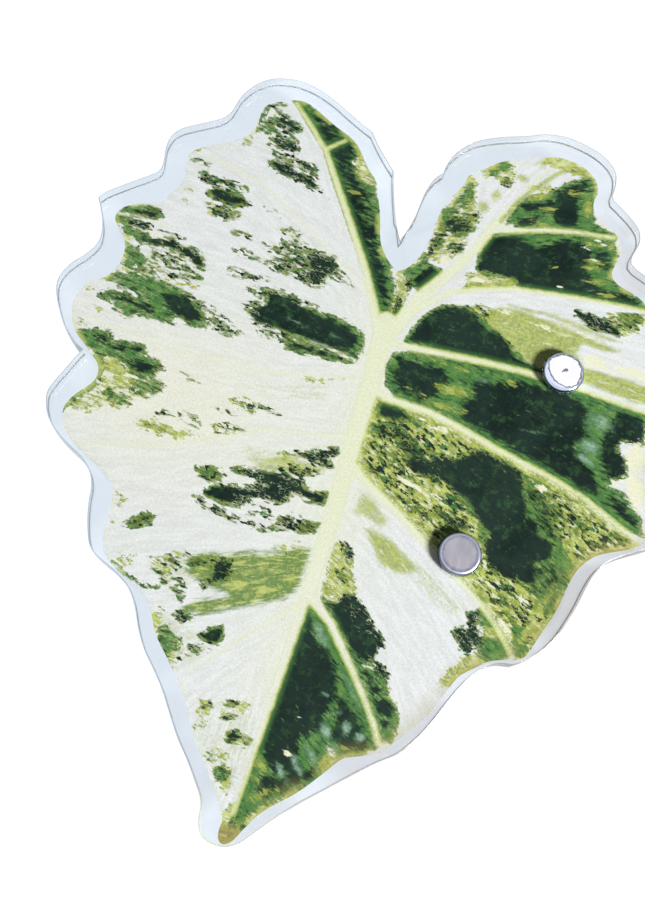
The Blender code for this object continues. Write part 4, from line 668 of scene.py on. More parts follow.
class PrintSettings(bpy.types.PropertyGroup):
    """Sizes and inks of the printed leaf"""
    step: size_prop("Mesh step", "Distance between points of the print's mesh", 0.0003, 0.0002, 0.002)
    cream: ink_prop("Cream", "of the pale areas", 227, 233, 236)
    warm: ink_prop("Warm cream", "of the yellower pale area", 230, 232, 206)
    grass: ink_prop("Grass green", "of the lighter green streaks", 106, 152, 76)
    shade: ink_prop("Cream shade", "of the pale areas' soft streaks", 217, 222, 223)
    vein: ink_prop("Vein", "of the main veins", 224, 231, 203)
    glow: ink_prop("Vein side", "beside the veins", 199, 210, 120)
    pale: ink_prop("Pale olive", "of the olive haze", 140, 158, 74)
    olive: ink_prop("Olive", "round the dark flecks", 124, 142, 68)
    meadow: ink_prop("Meadow", "of the silky green patch", 96, 132, 46)
    # painted shade: the brown of the shade along the lower right border and over the tip
    shade_brown: ink_prop("Shore", "of the shaded border and the tip", 160, 150, 92)
    lime: ink_prop("Lime", "of the lime flecks", 182, 194, 100)
    green: ink_prop("Green", "of the mid green", 75, 123, 68)
    dark: ink_prop("Dark green", "of the dark flecks", 30, 50, 43)
    deep: ink_prop("Deepest green", "of the darkest areas", 12, 31, 27)
    moss: ink_prop("Moss", "round the veil", 74, 122, 84)
    veil: ink_prop("Veil", "of the pale veil over the dark areas", 176, 206, 188)


class MagnetSettings(bpy.types.PropertyGroup):
    """Sizes and finish of the magnets and their glue"""
    edge: size_prop("Edge", "Rounding of a magnet's edge", 0.0003, 0.0001, 0.0006)
    nickel: colour_prop("Nickel", "Colour of the nickel plating", paint(238, 238, 243))
    # painted reflection: the lavender near the rim
    rim: colour_prop("Rim", "Colour of the plating near the rim", paint(206, 214, 240))
    # painted shade: the dark line round the edge and round the window's painted reflection; the dark spots
    # take it too
    edge_tone: colour_prop("Dark edge", "Colour of the dark line and the dull spots", paint(112, 118, 134))
    roughness: share_prop("Roughness", "How dull the plating is", 0.12)
    upper_bead: size_prop("Upper bead", "Reach of the glue round the upper magnet", 0.0026, 0.0025, 0.003)
    lower_bead: size_prop("Lower bead", "Reach of the glue round the lower magnet", 0.0029, 0.0025, 0.003)


class StageSettings(bpy.types.PropertyGroup):
    """Table and light"""
    table: colour_prop("Table", "Colour of the table", (0.07, 0.07, 0.07))
    # painted light: the table glows under the sheet, brighter under the shaded left side
    cool_glow: colour_prop("Cool glow", "Light that the table adds under the left side", (0.70, 0.765, 0.83))
    warm_glow: colour_prop("Warm glow", "Light that the table adds under the right side", (0.50, 0.495, 0.49))
    whiteness: share_prop("Whiteness", "How far the open table turns to plain white", 0.93)
    backdrop: colour_prop("Backdrop", "Colour of the background past the table's edge", (0.70, 0.71, 0.73))
    sky: FloatProperty(name="Soft light", description="Strength of the light from all round", default=1.25,
                       min=0.0, max=5.0)
    fill: share_prop("Fill", "Share of the soft light that reaches the matte pieces", 0.26)
    key: FloatProperty(name="Key light", description="Power of the lamp at the right in watts", default=84.0,
                       min=0.0, max=400.0, unit="POWER")
    key_distance: size_prop("Lamp distance", "Distance of the lamp from the sheet", 1.6, 0.3, 5.0)
    key_size: size_prop("Lamp size", "Width of the round lamp", 0.40, 0.01, 2.0)


class LeafMagnetSettings(bpy.types.PropertyGroup):
    """All sizes and colours of the leaf magnet"""
    sheet: PointerProperty(name="Sheet", description="The clear sheet", type=SheetSettings)
    leaf: PointerProperty(name="Print", description="The printed leaf", type=PrintSettings)
    magnet: PointerProperty(name="Magnets", description="Magnets and glue", type=MagnetSettings)
    stage: PointerProperty(name="Stage", description="Table and light", type=StageSettings)


def deselect_all():
    """Object mode with nothing selected."""
    if bpy.context.object and bpy.context.object.mode != "OBJECT":
        bpy.ops.object.mode_set(mode="OBJECT")
    bpy.ops.object.select_all(action="DESELECT")


def make_active(obj):
    """Select one object alone."""
    deselect_all()
    obj.select_set(True)
    bpy.context.view_layer.objects.active = obj


def edit_all():
    """Edit mode with the whole mesh selected."""
    bpy.ops.object.mode_set(mode="EDIT")
    bpy.ops.mesh.select_all(action="SELECT")


def edit_some(obj, kind, is_chosen):
    """Edit mode with only the chosen edges or faces selected."""
    bpy.ops.object.mode_set(mode="EDIT")
    bpy.ops.mesh.select_all(action="DESELECT")
    bpy.ops.mesh.select_mode(type=kind)
    bpy.ops.object.mode_set(mode="OBJECT")
    for part in obj.data.edges if kind == "EDGE" else obj.data.polygons:
        part.select = is_chosen(part)
    bpy.ops.object.mode_set(mode="EDIT")


def round_off(angle):
    """Object mode, and smooth shading where faces meet at less than an angle in degrees."""
    bpy.ops.object.mode_set(mode="OBJECT")
    bpy.ops.object.shade_smooth_by_angle(angle=math.radians(angle))


def link_new(name, mesh):
    """A new object in the scene with a mesh of its own."""
    obj = bpy.data.objects.new(name, mesh)
    bpy.context.scene.collection.objects.link(obj)
    return obj


def copy_of_node(name, new_name):
    """A copy of a CAD node's mesh, its points merged and its flat faces joined."""
    obj = link_new(new_name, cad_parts[name].data.copy())
    obj.data.materials.clear()
    make_active(obj)
    edit_all()
    bpy.ops.mesh.remove_doubles(threshold=MERGE)
    bpy.ops.mesh.dissolve_limited(angle_limit=math.radians(FLAT_ANGLE))
    bpy.ops.mesh.normals_make_consistent(inside=False)
    bpy.ops.object.mode_set(mode="OBJECT")
    return obj


def settle(obj, node):
    """Let a finished piece ride on the body in place of its CAD node."""
    deselect_all()
    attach(obj, "root")
    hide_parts(node)


def put_in_mesh(obj):
    """Move an object's place and turn into its mesh."""
    make_active(obj)
    bpy.ops.object.transform_apply(location=True, rotation=True, scale=True)


def middle(node):
    """The middle of a CAD node's box."""
    low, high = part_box(node)
    return (low + high) / 2


def flat_disc(name, radius, sides, place):
    """A flat round piece of the stage."""
    deselect_all()
    bpy.ops.mesh.primitive_circle_add(vertices=sides, radius=radius, fill_type="NGON", location=place)
    disc = bpy.context.object
    disc.name = name
    put_in_mesh(disc)
    return disc


def polyline_reach(points, line):
    """Distance to a line, distance across it, length along it and its whole length, for many points."""
    best = np.full(len(points), FAR)
    side = np.zeros(len(points))
    along = np.zeros(len(points))
    line = np.array(line, float)
    total = 0.0
    for a, b in zip(line[:-1], line[1:]):
        step = b - a
        length = float(np.hypot(*step))
        direction = step / length
        away = points - a
        t = np.clip(away @ direction, 0, length)
        gap = np.hypot(*(away - t[:, None] * direction).T)
        nearer = gap < best
        best = np.where(nearer, gap, best)
        cross = direction[0] * away[:, 1] - direction[1] * away[:, 0]
        side = np.where(nearer, cross, side)
        along = np.where(nearer, total + away @ direction, along)
        total += length
    return best, side, along, total


def vein_gaps(points, veins):
    """Distance in mm from the nearest vein's side, negative inside the vein."""
    gap = np.full(len(points), FAR)
    for line, start, end in veins:
        reach, _, along, total = polyline_reach(points, line)
        part = np.clip(along / total, 0, 1)
        gap = np.minimum(gap, reach - (start + (end - start) * part) / 2)
    return gap


def streak_places(points):
    """Place along and across the streaks, in mm, with a number for each leading line."""
    best = np.full(len(points), FAR)
    out = np.zeros((len(points), 3))
    lines = [vein[0] for vein in BOLD_VEINS + FAINT_VEINS] + STREAK_LINES
    for k, line in enumerate(lines):
        reach, side, along, _ = polyline_reach(points, line)
        nearer = reach < best
        best = np.where(nearer, reach, best)
        out[nearer] = np.stack([along, side, np.full(len(points), k * SEED_STEP)], 1)[nearer]
    return out


def chip_places(points):
    """Place in mm along and across the chips of ink, which lean another way between each pair of veins."""
    x, y = points[:, 0], points[:, 1]
    above = [polyline_reach(points, BOLD_VEINS[k][0])[1] > 0 for k in CHIP_VEINS]
    left, top, side, low = CHIP_LEANS
    lean = np.where(x < CHIP_SPLIT, left, np.where(above[0], top, np.where(above[1], side, low)))
    c, s = np.cos(np.radians(lean)), np.sin(np.radians(lean))
    return np.stack([x * c + y * s, y * c - x * s, lean * SEED_STEP], 1)


def field_depth(points, corners):
    """Depth in mm inside a cornered field, negative outside."""
    ring = [*corners, corners[0]]
    reach = polyline_reach(points, ring)[0]
    inside = np.zeros(len(points), bool)
    x, y = points[:, 0], points[:, 1]
    for (ax, ay), (bx, by) in zip(ring[:-1], ring[1:]):
        if ay != by:
            inside ^= ((ay > y) != (by > y)) & (x < (bx - ax) * (y - ay) / (by - ay) + ax)
    return np.where(inside, reach, -reach)


def patch_tone(points, patches):
    """How much of one ink there is at each point: its strength inside a patch, half of it at the edge."""
    out = np.zeros(len(points))
    for strength, soft, corners in patches:
        low, high = np.min(corners, 0) - soft, np.max(corners, 0) + soft
        near = np.flatnonzero(np.all((points > low) & (points < high), 1))
        depth = field_depth(points[near], corners)
        out[near] = np.maximum(out[near], strength * np.clip(0.5 + depth / (2 * soft), 0, 1))
    return out


def fleck_tone(points, flecks):
    """Strength of one ink in a fleck's middle, half of it at the edge."""
    out = np.zeros(len(points))
    for x, y, half_long, half_wide, tilt, strength in flecks:
        c, s = math.cos(math.radians(tilt)), math.sin(math.radians(tilt))
        dx, dy = points[:, 0] - x, points[:, 1] - y
        far = ((dx * c + dy * s) / half_long) ** 2 + ((dy * c - dx * s) / half_wide) ** 2
        out = np.maximum(out, strength / (1.0 + far ** FLECK_FALL))
    return out


class Signal:
    """A node's output, which can be added, taken away and multiplied like a number."""

    def __init__(self, nodes, socket):
        self.nodes = nodes
        self.socket = socket

    def output(self, key):
        """Another output of the same node."""
        return Signal(self.nodes, self.socket.node.outputs[key])

    def __add__(self, other):
        return self.nodes.math("ADD", self, other)

    def __sub__(self, other):
        return self.nodes.math("SUBTRACT", self, other)

    def __rsub__(self, other):
        return self.nodes.math("SUBTRACT", other, self)

    def __mul__(self, other):
        return self.nodes.math("MULTIPLY", self, other)


class Nodes:
    """The node tree of a material or world, with short calls for adding and joining nodes."""

    def __init__(self, block):
        self.block = block
        block.use_nodes = True
        self.tree = block.node_tree
        self.tree.nodes.clear()
        kind = "World" if isinstance(block, bpy.types.World) else "Material"
        self.out = self.tree.nodes.new("ShaderNodeOutput" + kind)

    def add(self, kind, inputs=None, output=0, **options):
        """Add a node, set its options, set or link its inputs, and give one of its outputs."""
        node = self.tree.nodes.new("ShaderNode" + kind)
        for key, value in options.items():
            setattr(node, key, value)
        for key, value in (inputs or {}).items():
            if isinstance(value, Signal):
                self.tree.links.new(value.socket, node.inputs[key])
            else:
                node.inputs[key].default_value = value
        return Signal(self, node.outputs[output])

    def math(self, operation, a, b=0.0):
        """One sum of two numbers or signals."""
        return self.add("Math", {0: a, 1: b}, operation=operation)

    def vector(self, operation, a, b=(0, 0, 0), output=0):
        """One sum of two vectors."""
        return self.add("VectorMath", {0: a, 1: b}, output, operation=operation)

    def step(self, value, low, high):
        """0 at low, 1 at high, smooth between; low may be the larger of the two."""
        return self.add("MapRange", {"Value": value, "From Min": low, "From Max": high},
                        interpolation_type="SMOOTHSTEP")

    def span(self, value, low, high, start, end):
        """Moves the range from low to high to the range from start to end, and keeps inside it."""
        return self.add("MapRange", {"Value": value, "From Min": low, "From Max": high, "To Min": start,
                                     "To Max": end})

    def blend(self, factor, a, b):
        """Mix of two colours."""
        a, b = (c if isinstance(c, Signal) else (*tuple(c)[:3], 1) for c in (a, b))
        return self.add("Mix", {0: factor, 6: a, 7: b}, 2, data_type="RGBA")

    def noise(self, place, scale, detail=3.0, rough=0.6, stretch=(1, 1, 1), shift=(0, 0, 0)):
        """Noise from 0 to 1 around a half, on stretched coordinates."""
        moved = self.add("Mapping", {"Vector": place, "Location": shift, "Scale": stretch})
        return self.add("TexNoise", {"Vector": moved, "Scale": scale, "Detail": detail,
                                     "Roughness": rough}, "Fac")

    def sway(self, noise, size):
        """A noise moved to lie around 0, and sized."""
        return (noise - 0.5) * size

    def bump(self, height, strength, distance):
        """A bumpy surface for a shader's Normal."""
        return self.add("Bump", {"Height": height, "Strength": strength, "Distance": distance})

    def attribute(self, name, output="Fac"):
        """A value kept on the mesh."""
        return self.add("Attribute", output=output, attribute_name=name)

    def object_place(self):
        """Object coordinates."""
        return self.add("TexCoord", output="Object")

    def finish(self, shader):
        """Link the shader to the output."""
        self.tree.links.new(shader.socket, self.out.inputs["Surface"])
        return self.block

    def finish_clear(self, glass, through):
        """Finish a clear shader that lets lamps and soft light pass to what lies behind it."""
        clear = self.add("BsdfTransparent", {"Color": through})
        path = self.add("LightPath", output="Is Shadow Ray")
        passing = self.math("MAXIMUM", path, path.output("Is Diffuse Ray"))
        return self.finish(self.add("MixShader", {0: passing, 1: glass, 2: clear}))


def new_material(name):
    """Nodes of a new material."""
    return Nodes(bpy.data.materials.new(name))


def acrylic_material(name, tint, through, roughness, far_shade=None):
    """Clear acrylic; with a far shade, a striped cut wall with this painted shade at the right and a painted
    reflection of the cream print at the tip.
    """
    n = new_material(name)
    place = n.object_place()
    base, passed, clarity = (*tint, 1), (*through, 1), 1.0
    if far_shade is None:
        bump = n.bump(n.noise(place, 90, 2.0, 0.5), 0.05, 0.0001)
    else:
        x = n.add("SeparateXYZ", {0: place})
        # painted reflection: at the tip the wall takes the print's cream and lets less through
        at_tip = n.step(x.output("Y"), *CREAM_TIP)
        # painted shade: the wall turns to the far shade at the right
        base = n.blend(at_tip, n.blend(n.step(x, *FAR_SIDE), tint, far_shade), TIP_REFLECTION)
        clarity = n.span(at_tip, 0, 1, 1.0, TIP_CLARITY)
        stripe = n.noise(place, 900, 2.0, 0.5, (1, 1, 0.02))
        passed = n.blend(n.step(stripe, 0.35, 0.65), through, [min(1, 1.25 * c) for c in through])
        fine = n.noise(place, 2600, 2.0, 0.5, (1, 1, 0.04))
        bump = n.bump(fine * 0.6 + n.noise(place, 700, 3.0, 0.6, (1, 1, 0.15)), 0.35, 0.00008)
    rough = n.span(n.noise(place, 400, 3.0, 0.6), 0.3, 0.8, roughness * 0.8, roughness * 1.3 + 0.01)
    glass = n.add("BsdfPrincipled", {"Base Color": base, "Roughness": rough, "IOR": ACRYLIC_IOR,
                                     "Transmission Weight": clarity, "Normal": bump})
    return n.finish_clear(glass, passed)


def leaf_material(inks):
    """Matte print of a variegated leaf, from the tones kept on the mesh and the cells of its chips."""
    n = new_material("matte leaf print")
    place = n.object_place()
    x = n.add("SeparateXYZ", {0: place})
    y = x.output("Y")
    streak = n.attribute("streak", "Vector")
    chips = n.attribute("chip", "Vector")
    silk = n.noise(streak, 1.2, 4.0, 0.6, (0.3, 1.5, 1), (4, 9, 0))
    tear = n.noise(chips, 0.5, 3.0, 0.55, (0.6, 1.0, 1))
    fine = n.noise(chips, 1.6, 4.0, 0.65, (0.5, 1.8, 1), (2, 5, 0))
    dab = n.noise(chips, 0.9, 4.0, 0.65, (0.6, 1.7, 1), (7, 1, 0))
    slit = n.noise(chips, 1.1, 4.0, 0.6, (0.75, 1.9, 1), (11, 3, 0))
    felt = n.noise(place, 900, 4.0, 0.7)
    cloud = n.noise(place, 170, 4.0, 0.6)
    grain = n.noise(place, 4200, 2.0, 0.5)
    dust = n.noise(place, 2600, 2.0, 0.6)
    peel = n.noise(place, 3300, 2.0, 0.5)
    gap = n.attribute("vein_gap")
    rim_gap = n.attribute("rim_gap")
    dark_tone, green_tone, lime_tone = (n.attribute(name) for name in ("dark", "green", "lime"))
    free = n.span(gap, 0.1, 1.3, 0.12, 1.0)

    # the chips' cells
    bend = n.add("TexNoise", {"Vector": chips, "Scale": 2.0, "Detail": 3.0, "Roughness": 0.6}, "Color")
    bend = n.vector("MULTIPLY", n.vector("SUBTRACT", bend, (0.5, 0.5, 0.5)), (0.9, 0.6, 0))
    spread = {"Vector": n.vector("MULTIPLY", n.vector("ADD", chips, bend), (1.6, 3.2, 1)), "Scale": 1.0}
    cells = n.add("TexVoronoi", spread, "Color", voronoi_dimensions="2D")
    cell_edge = n.add("TexVoronoi", spread, "Distance", voronoi_dimensions="2D", feature="DISTANCE_TO_EDGE")
    pick = n.add("SeparateColor", {0: cells})
    picks = [pick.output(k) for k in range(3)]

    def broken(amount, pick, size, tears):
        """One ink's amount, cut into chips; it stays even along the veins, and nil stays nil."""
        push = n.sway(pick, size) + n.sway(tear, tears) + n.sway(fine, 1.1)
        return amount + push * free * n.step(amount, 0.0, 0.3)

    def gaps(amount, width):
        """Pale lines between one ink's chips, closed where the ink is solid."""
        line = n.step(cell_edge + n.sway(fine, 0.7), width, width * 0.3)
        return 1.0 - n.step(amount, 1.0, 0.7) * line

    def coats(base, *layers):
        """A colour with coats of ink over it: where each begins, where it is full, its share and its ink."""
        for value, low, high, most, ink_colour in layers:
            base = n.blend(n.step(value, low, high) * most, base, ink_colour)
        return base

    dark = broken(dark_tone, picks[0], 0.75, 0.7)
    green = broken(green_tone, picks[1], 0.6, 0.6)
    lime = broken(lime_tone, picks[2], 0.75, 0.6)
    olive = n.attribute("olive") + (n.sway(silk, 1.0) + n.sway(dust, 0.9))

    # cream ground and olive haze
    leaf = n.blend(n.step(silk, 0.35, 0.65), inks.cream, inks.shade)
    leaf = n.blend(n.attribute("warm") * 0.55, leaf, inks.warm)
    leaf = n.blend(n.attribute("rib_glow") * 0.7, leaf, inks.vein)
    tawny = coats(inks.pale, (dust * 0.6 + felt * 0.5, 0.42, 0.68, 1.0, inks.lime),
                  (silk, 0.56, 0.7, 0.7, inks.warm))
    leaf = coats(leaf, (olive, 0.15, 0.95, 0.92, tawny))

    # lime, with cream dabs and dark slits
    yellow = coats(inks.lime, (felt, 0.4, 0.62, 1.0, inks.pale), (fine, 0.54, 0.64, 0.4, inks.olive),
                   (fine, 0.46, 0.34, 0.6, inks.warm))
    under = n.step(lime_tone, 0.7, 1.0)
    leaf = n.blend(under * 0.7, leaf, inks.lime)
    leaf = n.blend(n.step(lime, 0.3, 0.56) * gaps(lime, 0.16), leaf, yellow)
    leaf = n.blend(n.step(dab, 0.54, 0.6) * under * 0.75, leaf, inks.warm)
    slits = n.step(slit + n.sway(tear, 0.35), 0.52, 0.545) * n.step(lime_tone, 0.85, 1.1)
    leaf = n.blend(slits * free, leaf, n.blend(n.step(picks[0], 0.5, 0.9), inks.dark, inks.green))

    # green chips and the silky meadow
    fresh = coats(inks.green, (felt, 0.42, 0.7, 1.0, inks.grass), (fine, 0.5, 0.64, 0.75, inks.dark),
                  (fine, 0.44, 0.32, 0.3, inks.olive))
    leaf = coats(leaf, (green, 0.24, 0.42, 0.8, inks.olive))
    leaf = n.blend(n.step(green, 0.38, 0.56) * gaps(green, 0.14), leaf, fresh)
    sward = coats(inks.lime, (silk + n.sway(felt, 0.4), 0.38, 0.54, 1.0, inks.meadow),
                  (fine, 0.5, 0.64, 0.45, inks.green), (dust, 0.5, 0.7, 0.5, inks.lime),
                  (silk, 0.64, 0.72, 0.8, inks.warm))
    leaf = coats(leaf, (n.attribute("meadow") + n.sway(silk, 1.3), 0.3, 0.8, 0.92, sward))

    # dark chips: hard on the cream, soft on the green
    body = coats(inks.deep, (cloud, 0.34, 0.62, 1.0, inks.dark), (felt, 0.5, 0.68, 0.28, inks.green),
                 (fine, 0.52, 0.66, 0.6, inks.deep), (fine, 0.36, 0.26, 0.7, inks.grass),
                 (gap, 1.0, 0.05, 0.75, inks.green))
    on_green = n.step(green_tone, 0.6, 1.0)
    off_green = 1.0 - on_green
    paler = n.blend(n.step(picks[1], 0.3, 0.8), inks.green, inks.olive)
    loose = n.step(dark_tone, 0.95, 0.65)
    body = n.blend(loose * n.step(picks[2], 0.3, 0.8) * off_green, body, paler)
    hard = n.step(dark, 0.4, 0.56)
    soft = n.step(dark_tone + (n.sway(fine, 2.0) + n.sway(tear, 1.2)), 0.15, 0.8)
    leaf = n.blend(n.step(dark, 0.26, 0.4) * 0.7 * off_green, leaf, inks.olive)
    amount = hard * off_green + soft * on_green
    leaf = n.blend(amount * gaps(dark + on_green * 0.5, 0.13), leaf, body)

    # pale haze, then lime and cream flecks
    speckle = n.step(felt * 0.5 + dust * 0.6, 0.45, 0.72)
    haze = n.attribute("haze")
    haze = haze + (n.sway(fine, 1.5) + n.sway(felt, 1.0)) * n.step(haze, 0.02, 0.5)
    leaf = coats(leaf, (haze, 0.15, 1.0, 0.6, inks.moss))
    leaf = n.blend(n.step(haze, 0.35, 1.2) * (speckle * 0.5 + 0.5) * 0.75, leaf, inks.veil)
    for name, fray, low, high, most, ink_colour in (("lime_fleck", 3.6, 0.4, 0.8, 0.85, yellow),
                                                    ("cream", 1.9, 0.42, 0.65, 1.0, inks.warm)):
        fleck = n.attribute(name)
        fleck = fleck + (fine - 0.5) * n.step(fleck, 0.04, 0.3) * fray
        leaf = coats(leaf, (fleck, low, high, most, ink_colour))

    # veins with their sides
    coloured = n.step(n.math("MAXIMUM", n.math("MAXIMUM", dark_tone, green_tone), lime_tone), 0.25, 0.6)
    wobble = gap + n.sway(felt, 0.5)
    leaf = n.blend(n.step(wobble, 0.34, 0.0) * (coloured * 0.5 + 0.06), leaf, inks.glow)
    rib = n.blend(n.step(y, *RIB_TURN), inks.vein, n.blend(0.5, inks.cream, inks.warm))
    leaf = coats(leaf, (wobble, 0.14, -0.14, 0.93, rib))
    flank = n.step(wobble, -0.3, -0.04) * n.step(wobble, 0.35, 0.05)
    leaf = n.blend(flank * (coloured * 0.24 + 0.08), leaf, inks.glow)
    leaf = coats(leaf, (n.attribute("faint_gap"), 0.25, -0.1, 0.5, inks.vein),
                 (n.attribute("lime_gap") + n.sway(felt, 0.8), 0.3, -0.12, 0.85, yellow))

    # border and tip, with painted shade along the lower right border and over the tip
    rim = n.step(rim_gap + n.sway(felt, 1.2), 0.8, 0.05)
    leaf = n.blend(rim * (coloured * 0.5 + 0.15), leaf, inks.glow)
    lower_right = n.step(x, *RIGHT_OF) * n.step(y, *BELOW)
    # painted shade: brown along the lower right border
    leaf = n.blend(n.step(rim_gap, 0.34, 0.12) * (lower_right * coloured) * 0.7, leaf, inks.shade_brown)
    leaf = n.blend(n.step(rim_gap, 2.4, 0.2) * lower_right * 0.28, leaf, inks.shade_brown)
    # painted shade: brown over the tip
    leaf = coats(leaf, (y + felt * 0.0006, *SHADED_TIP, 0.75, inks.shade_brown))

    inked = n.add("VectorMath", {0: leaf, "Scale": n.span(grain, 0.3, 0.7, 0.9, 1.07)}, operation="SCALE")
    return n.finish(n.add("BsdfPrincipled", {
        "Base Color": inked, "Roughness": n.span(grain, 0, 1, 0.55, 0.7), "Specular IOR Level": 0.08,
        "Normal": n.bump(peel, 0.3, 0.00003)}))


def nickel_material(name, settings, centre, window, spots):
    """Bright nickel with painted reflections: a painted dark line round the edge, a painted cool rim round a
    painted reflection of a window or a plain painted ring, and dark spots.
    """
    n = new_material(name)
    place = n.object_place()
    scuff = n.noise(place, 1500, 4.0, 0.6, (1, 0.2, 1))
    cloud = n.noise(place, 420, 3.0, 0.5)
    ragged_outline = n.sway(n.noise(place, 1600, 4.0, 0.7), RAGGED)
    rough = n.span(scuff, 0.3, 0.75, settings.roughness * 0.7, settings.roughness * 1.7)
    shade = n.blend(n.step(cloud, 0.35, 0.7), settings.nickel, [c * 0.92 for c in settings.nickel])
    flat = n.vector("MULTIPLY", n.vector("SUBTRACT", place, centre), (1, 1, 0))
    away = n.vector("LENGTH", flat, output="Value")
    # painted reflection: a bright window with a lavender rim round it and a dark outline, or a plain lavender
    # ring
    if window:
        corner = n.vector("DISTANCE", flat, WINDOW_CORNER, "Value")
        out = n.math("MAXIMUM", away - WINDOW_REACH, corner - WINDOW_SPAN) + ragged_outline
        shade = n.blend(n.step(out, -HAIR, HAIR), shade, settings.rim)
        shade = n.blend(n.step(n.math("ABSOLUTE", out), *WINDOW_LINE), shade, settings.edge_tone)
    else:
        shade = n.blend(n.step(away + ragged_outline, *REFLECTION_RING), shade, [c * PLAIN_RIM for c in settings.rim])
        rough = rough + n.step(away, *ROUGH_RING) * 0.25
    # painted shade: a dark line round the edge
    edge_line = n.step(away, *DARK_LINE_IN) * n.step(away, *DARK_LINE_OUT)
    shade = n.blend(edge_line, shade, settings.edge_tone)
    for dx, dy, reach in spots:
        gap = n.vector("DISTANCE", flat, (dx, dy, 0), "Value") + ragged_outline * 0.5
        shade = n.blend(n.step(gap, reach, reach * 0.7), shade, settings.edge_tone)
    return n.finish(n.add("BsdfPrincipled", {"Base Color": shade, "Metallic": 1.0, "Roughness": rough,
                                             "Normal": n.bump(scuff, 0.1, 0.00002)}))


def glue_material():
    """Clear set glue with small ripples."""
    n = new_material("clear set glue")
    ripple = n.noise(n.object_place(), 1300, 2.0, 0.5)
    shade = n.blend(n.step(ripple, 0.3, 0.7), GLUE_TINT, (1.0, 1.0, 0.98))
    glass = n.add("BsdfPrincipled", {"Base Color": shade, "Roughness": n.span(ripple, 0, 1, 0.04, 0.16),
                                     "IOR": GLUE_IOR, "Transmission Weight": 1.0,
                                     "Normal": n.bump(ripple, 0.5, 0.00008)})
    return n.finish_clear(glass, (*GLUE_LIGHT, 1))


class LEAFMAGNET_OT_sheet(bpy.types.Operator):
    """Add the clear acrylic sheet with its laser-cut wall"""
    bl_idname = "leafmagnet.sheet"
    bl_label = "Clear sheet"

    def execute(self, context):
        settings = context.scene.leaf_magnet.sheet
        obj = copy_of_node("acrylic_plate", "clear_sheet")
        low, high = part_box("acrylic_plate")
        finishes = (
            ("polished acrylic", settings.tint, settings.tint, POLISHED, None),
            ("laser-cut acrylic", settings.tint, settings.cut_light, settings.cut_roughness,
             # the cut wall and the rounded edges carry painted shade, darkest at the right
             settings.far_wall_shade),
            ("rounded acrylic edge", settings.edge_shade, settings.cut_light, settings.edge_roughness,
             settings.far_edge_shade),
        )
        for finish in finishes:
            obj.data.materials.append(acrylic_material(*finish))

        def on_a_face(edge):
            start, end = (obj.data.vertices[v].co.z for v in edge.vertices)
            return abs(start - end) < TOUCH and (abs(start - low.z) < TOUCH or abs(start - high.z) < TOUCH)

        edit_some(obj, "EDGE", on_a_face)
        bpy.ops.mesh.bevel(offset=settings.edge, segments=2, affect="EDGES", clamp_overlap=True)
        bpy.ops.object.mode_set(mode="OBJECT")
        for face in obj.data.polygons:
            lift = abs(face.normal.z)
            face.material_index = 0 if lift > FLAT else 1 if lift < UPRIGHT else 2
        make_active(obj)
        round_off(20)
        settle(obj, "acrylic_plate")
        return {"FINISHED"}


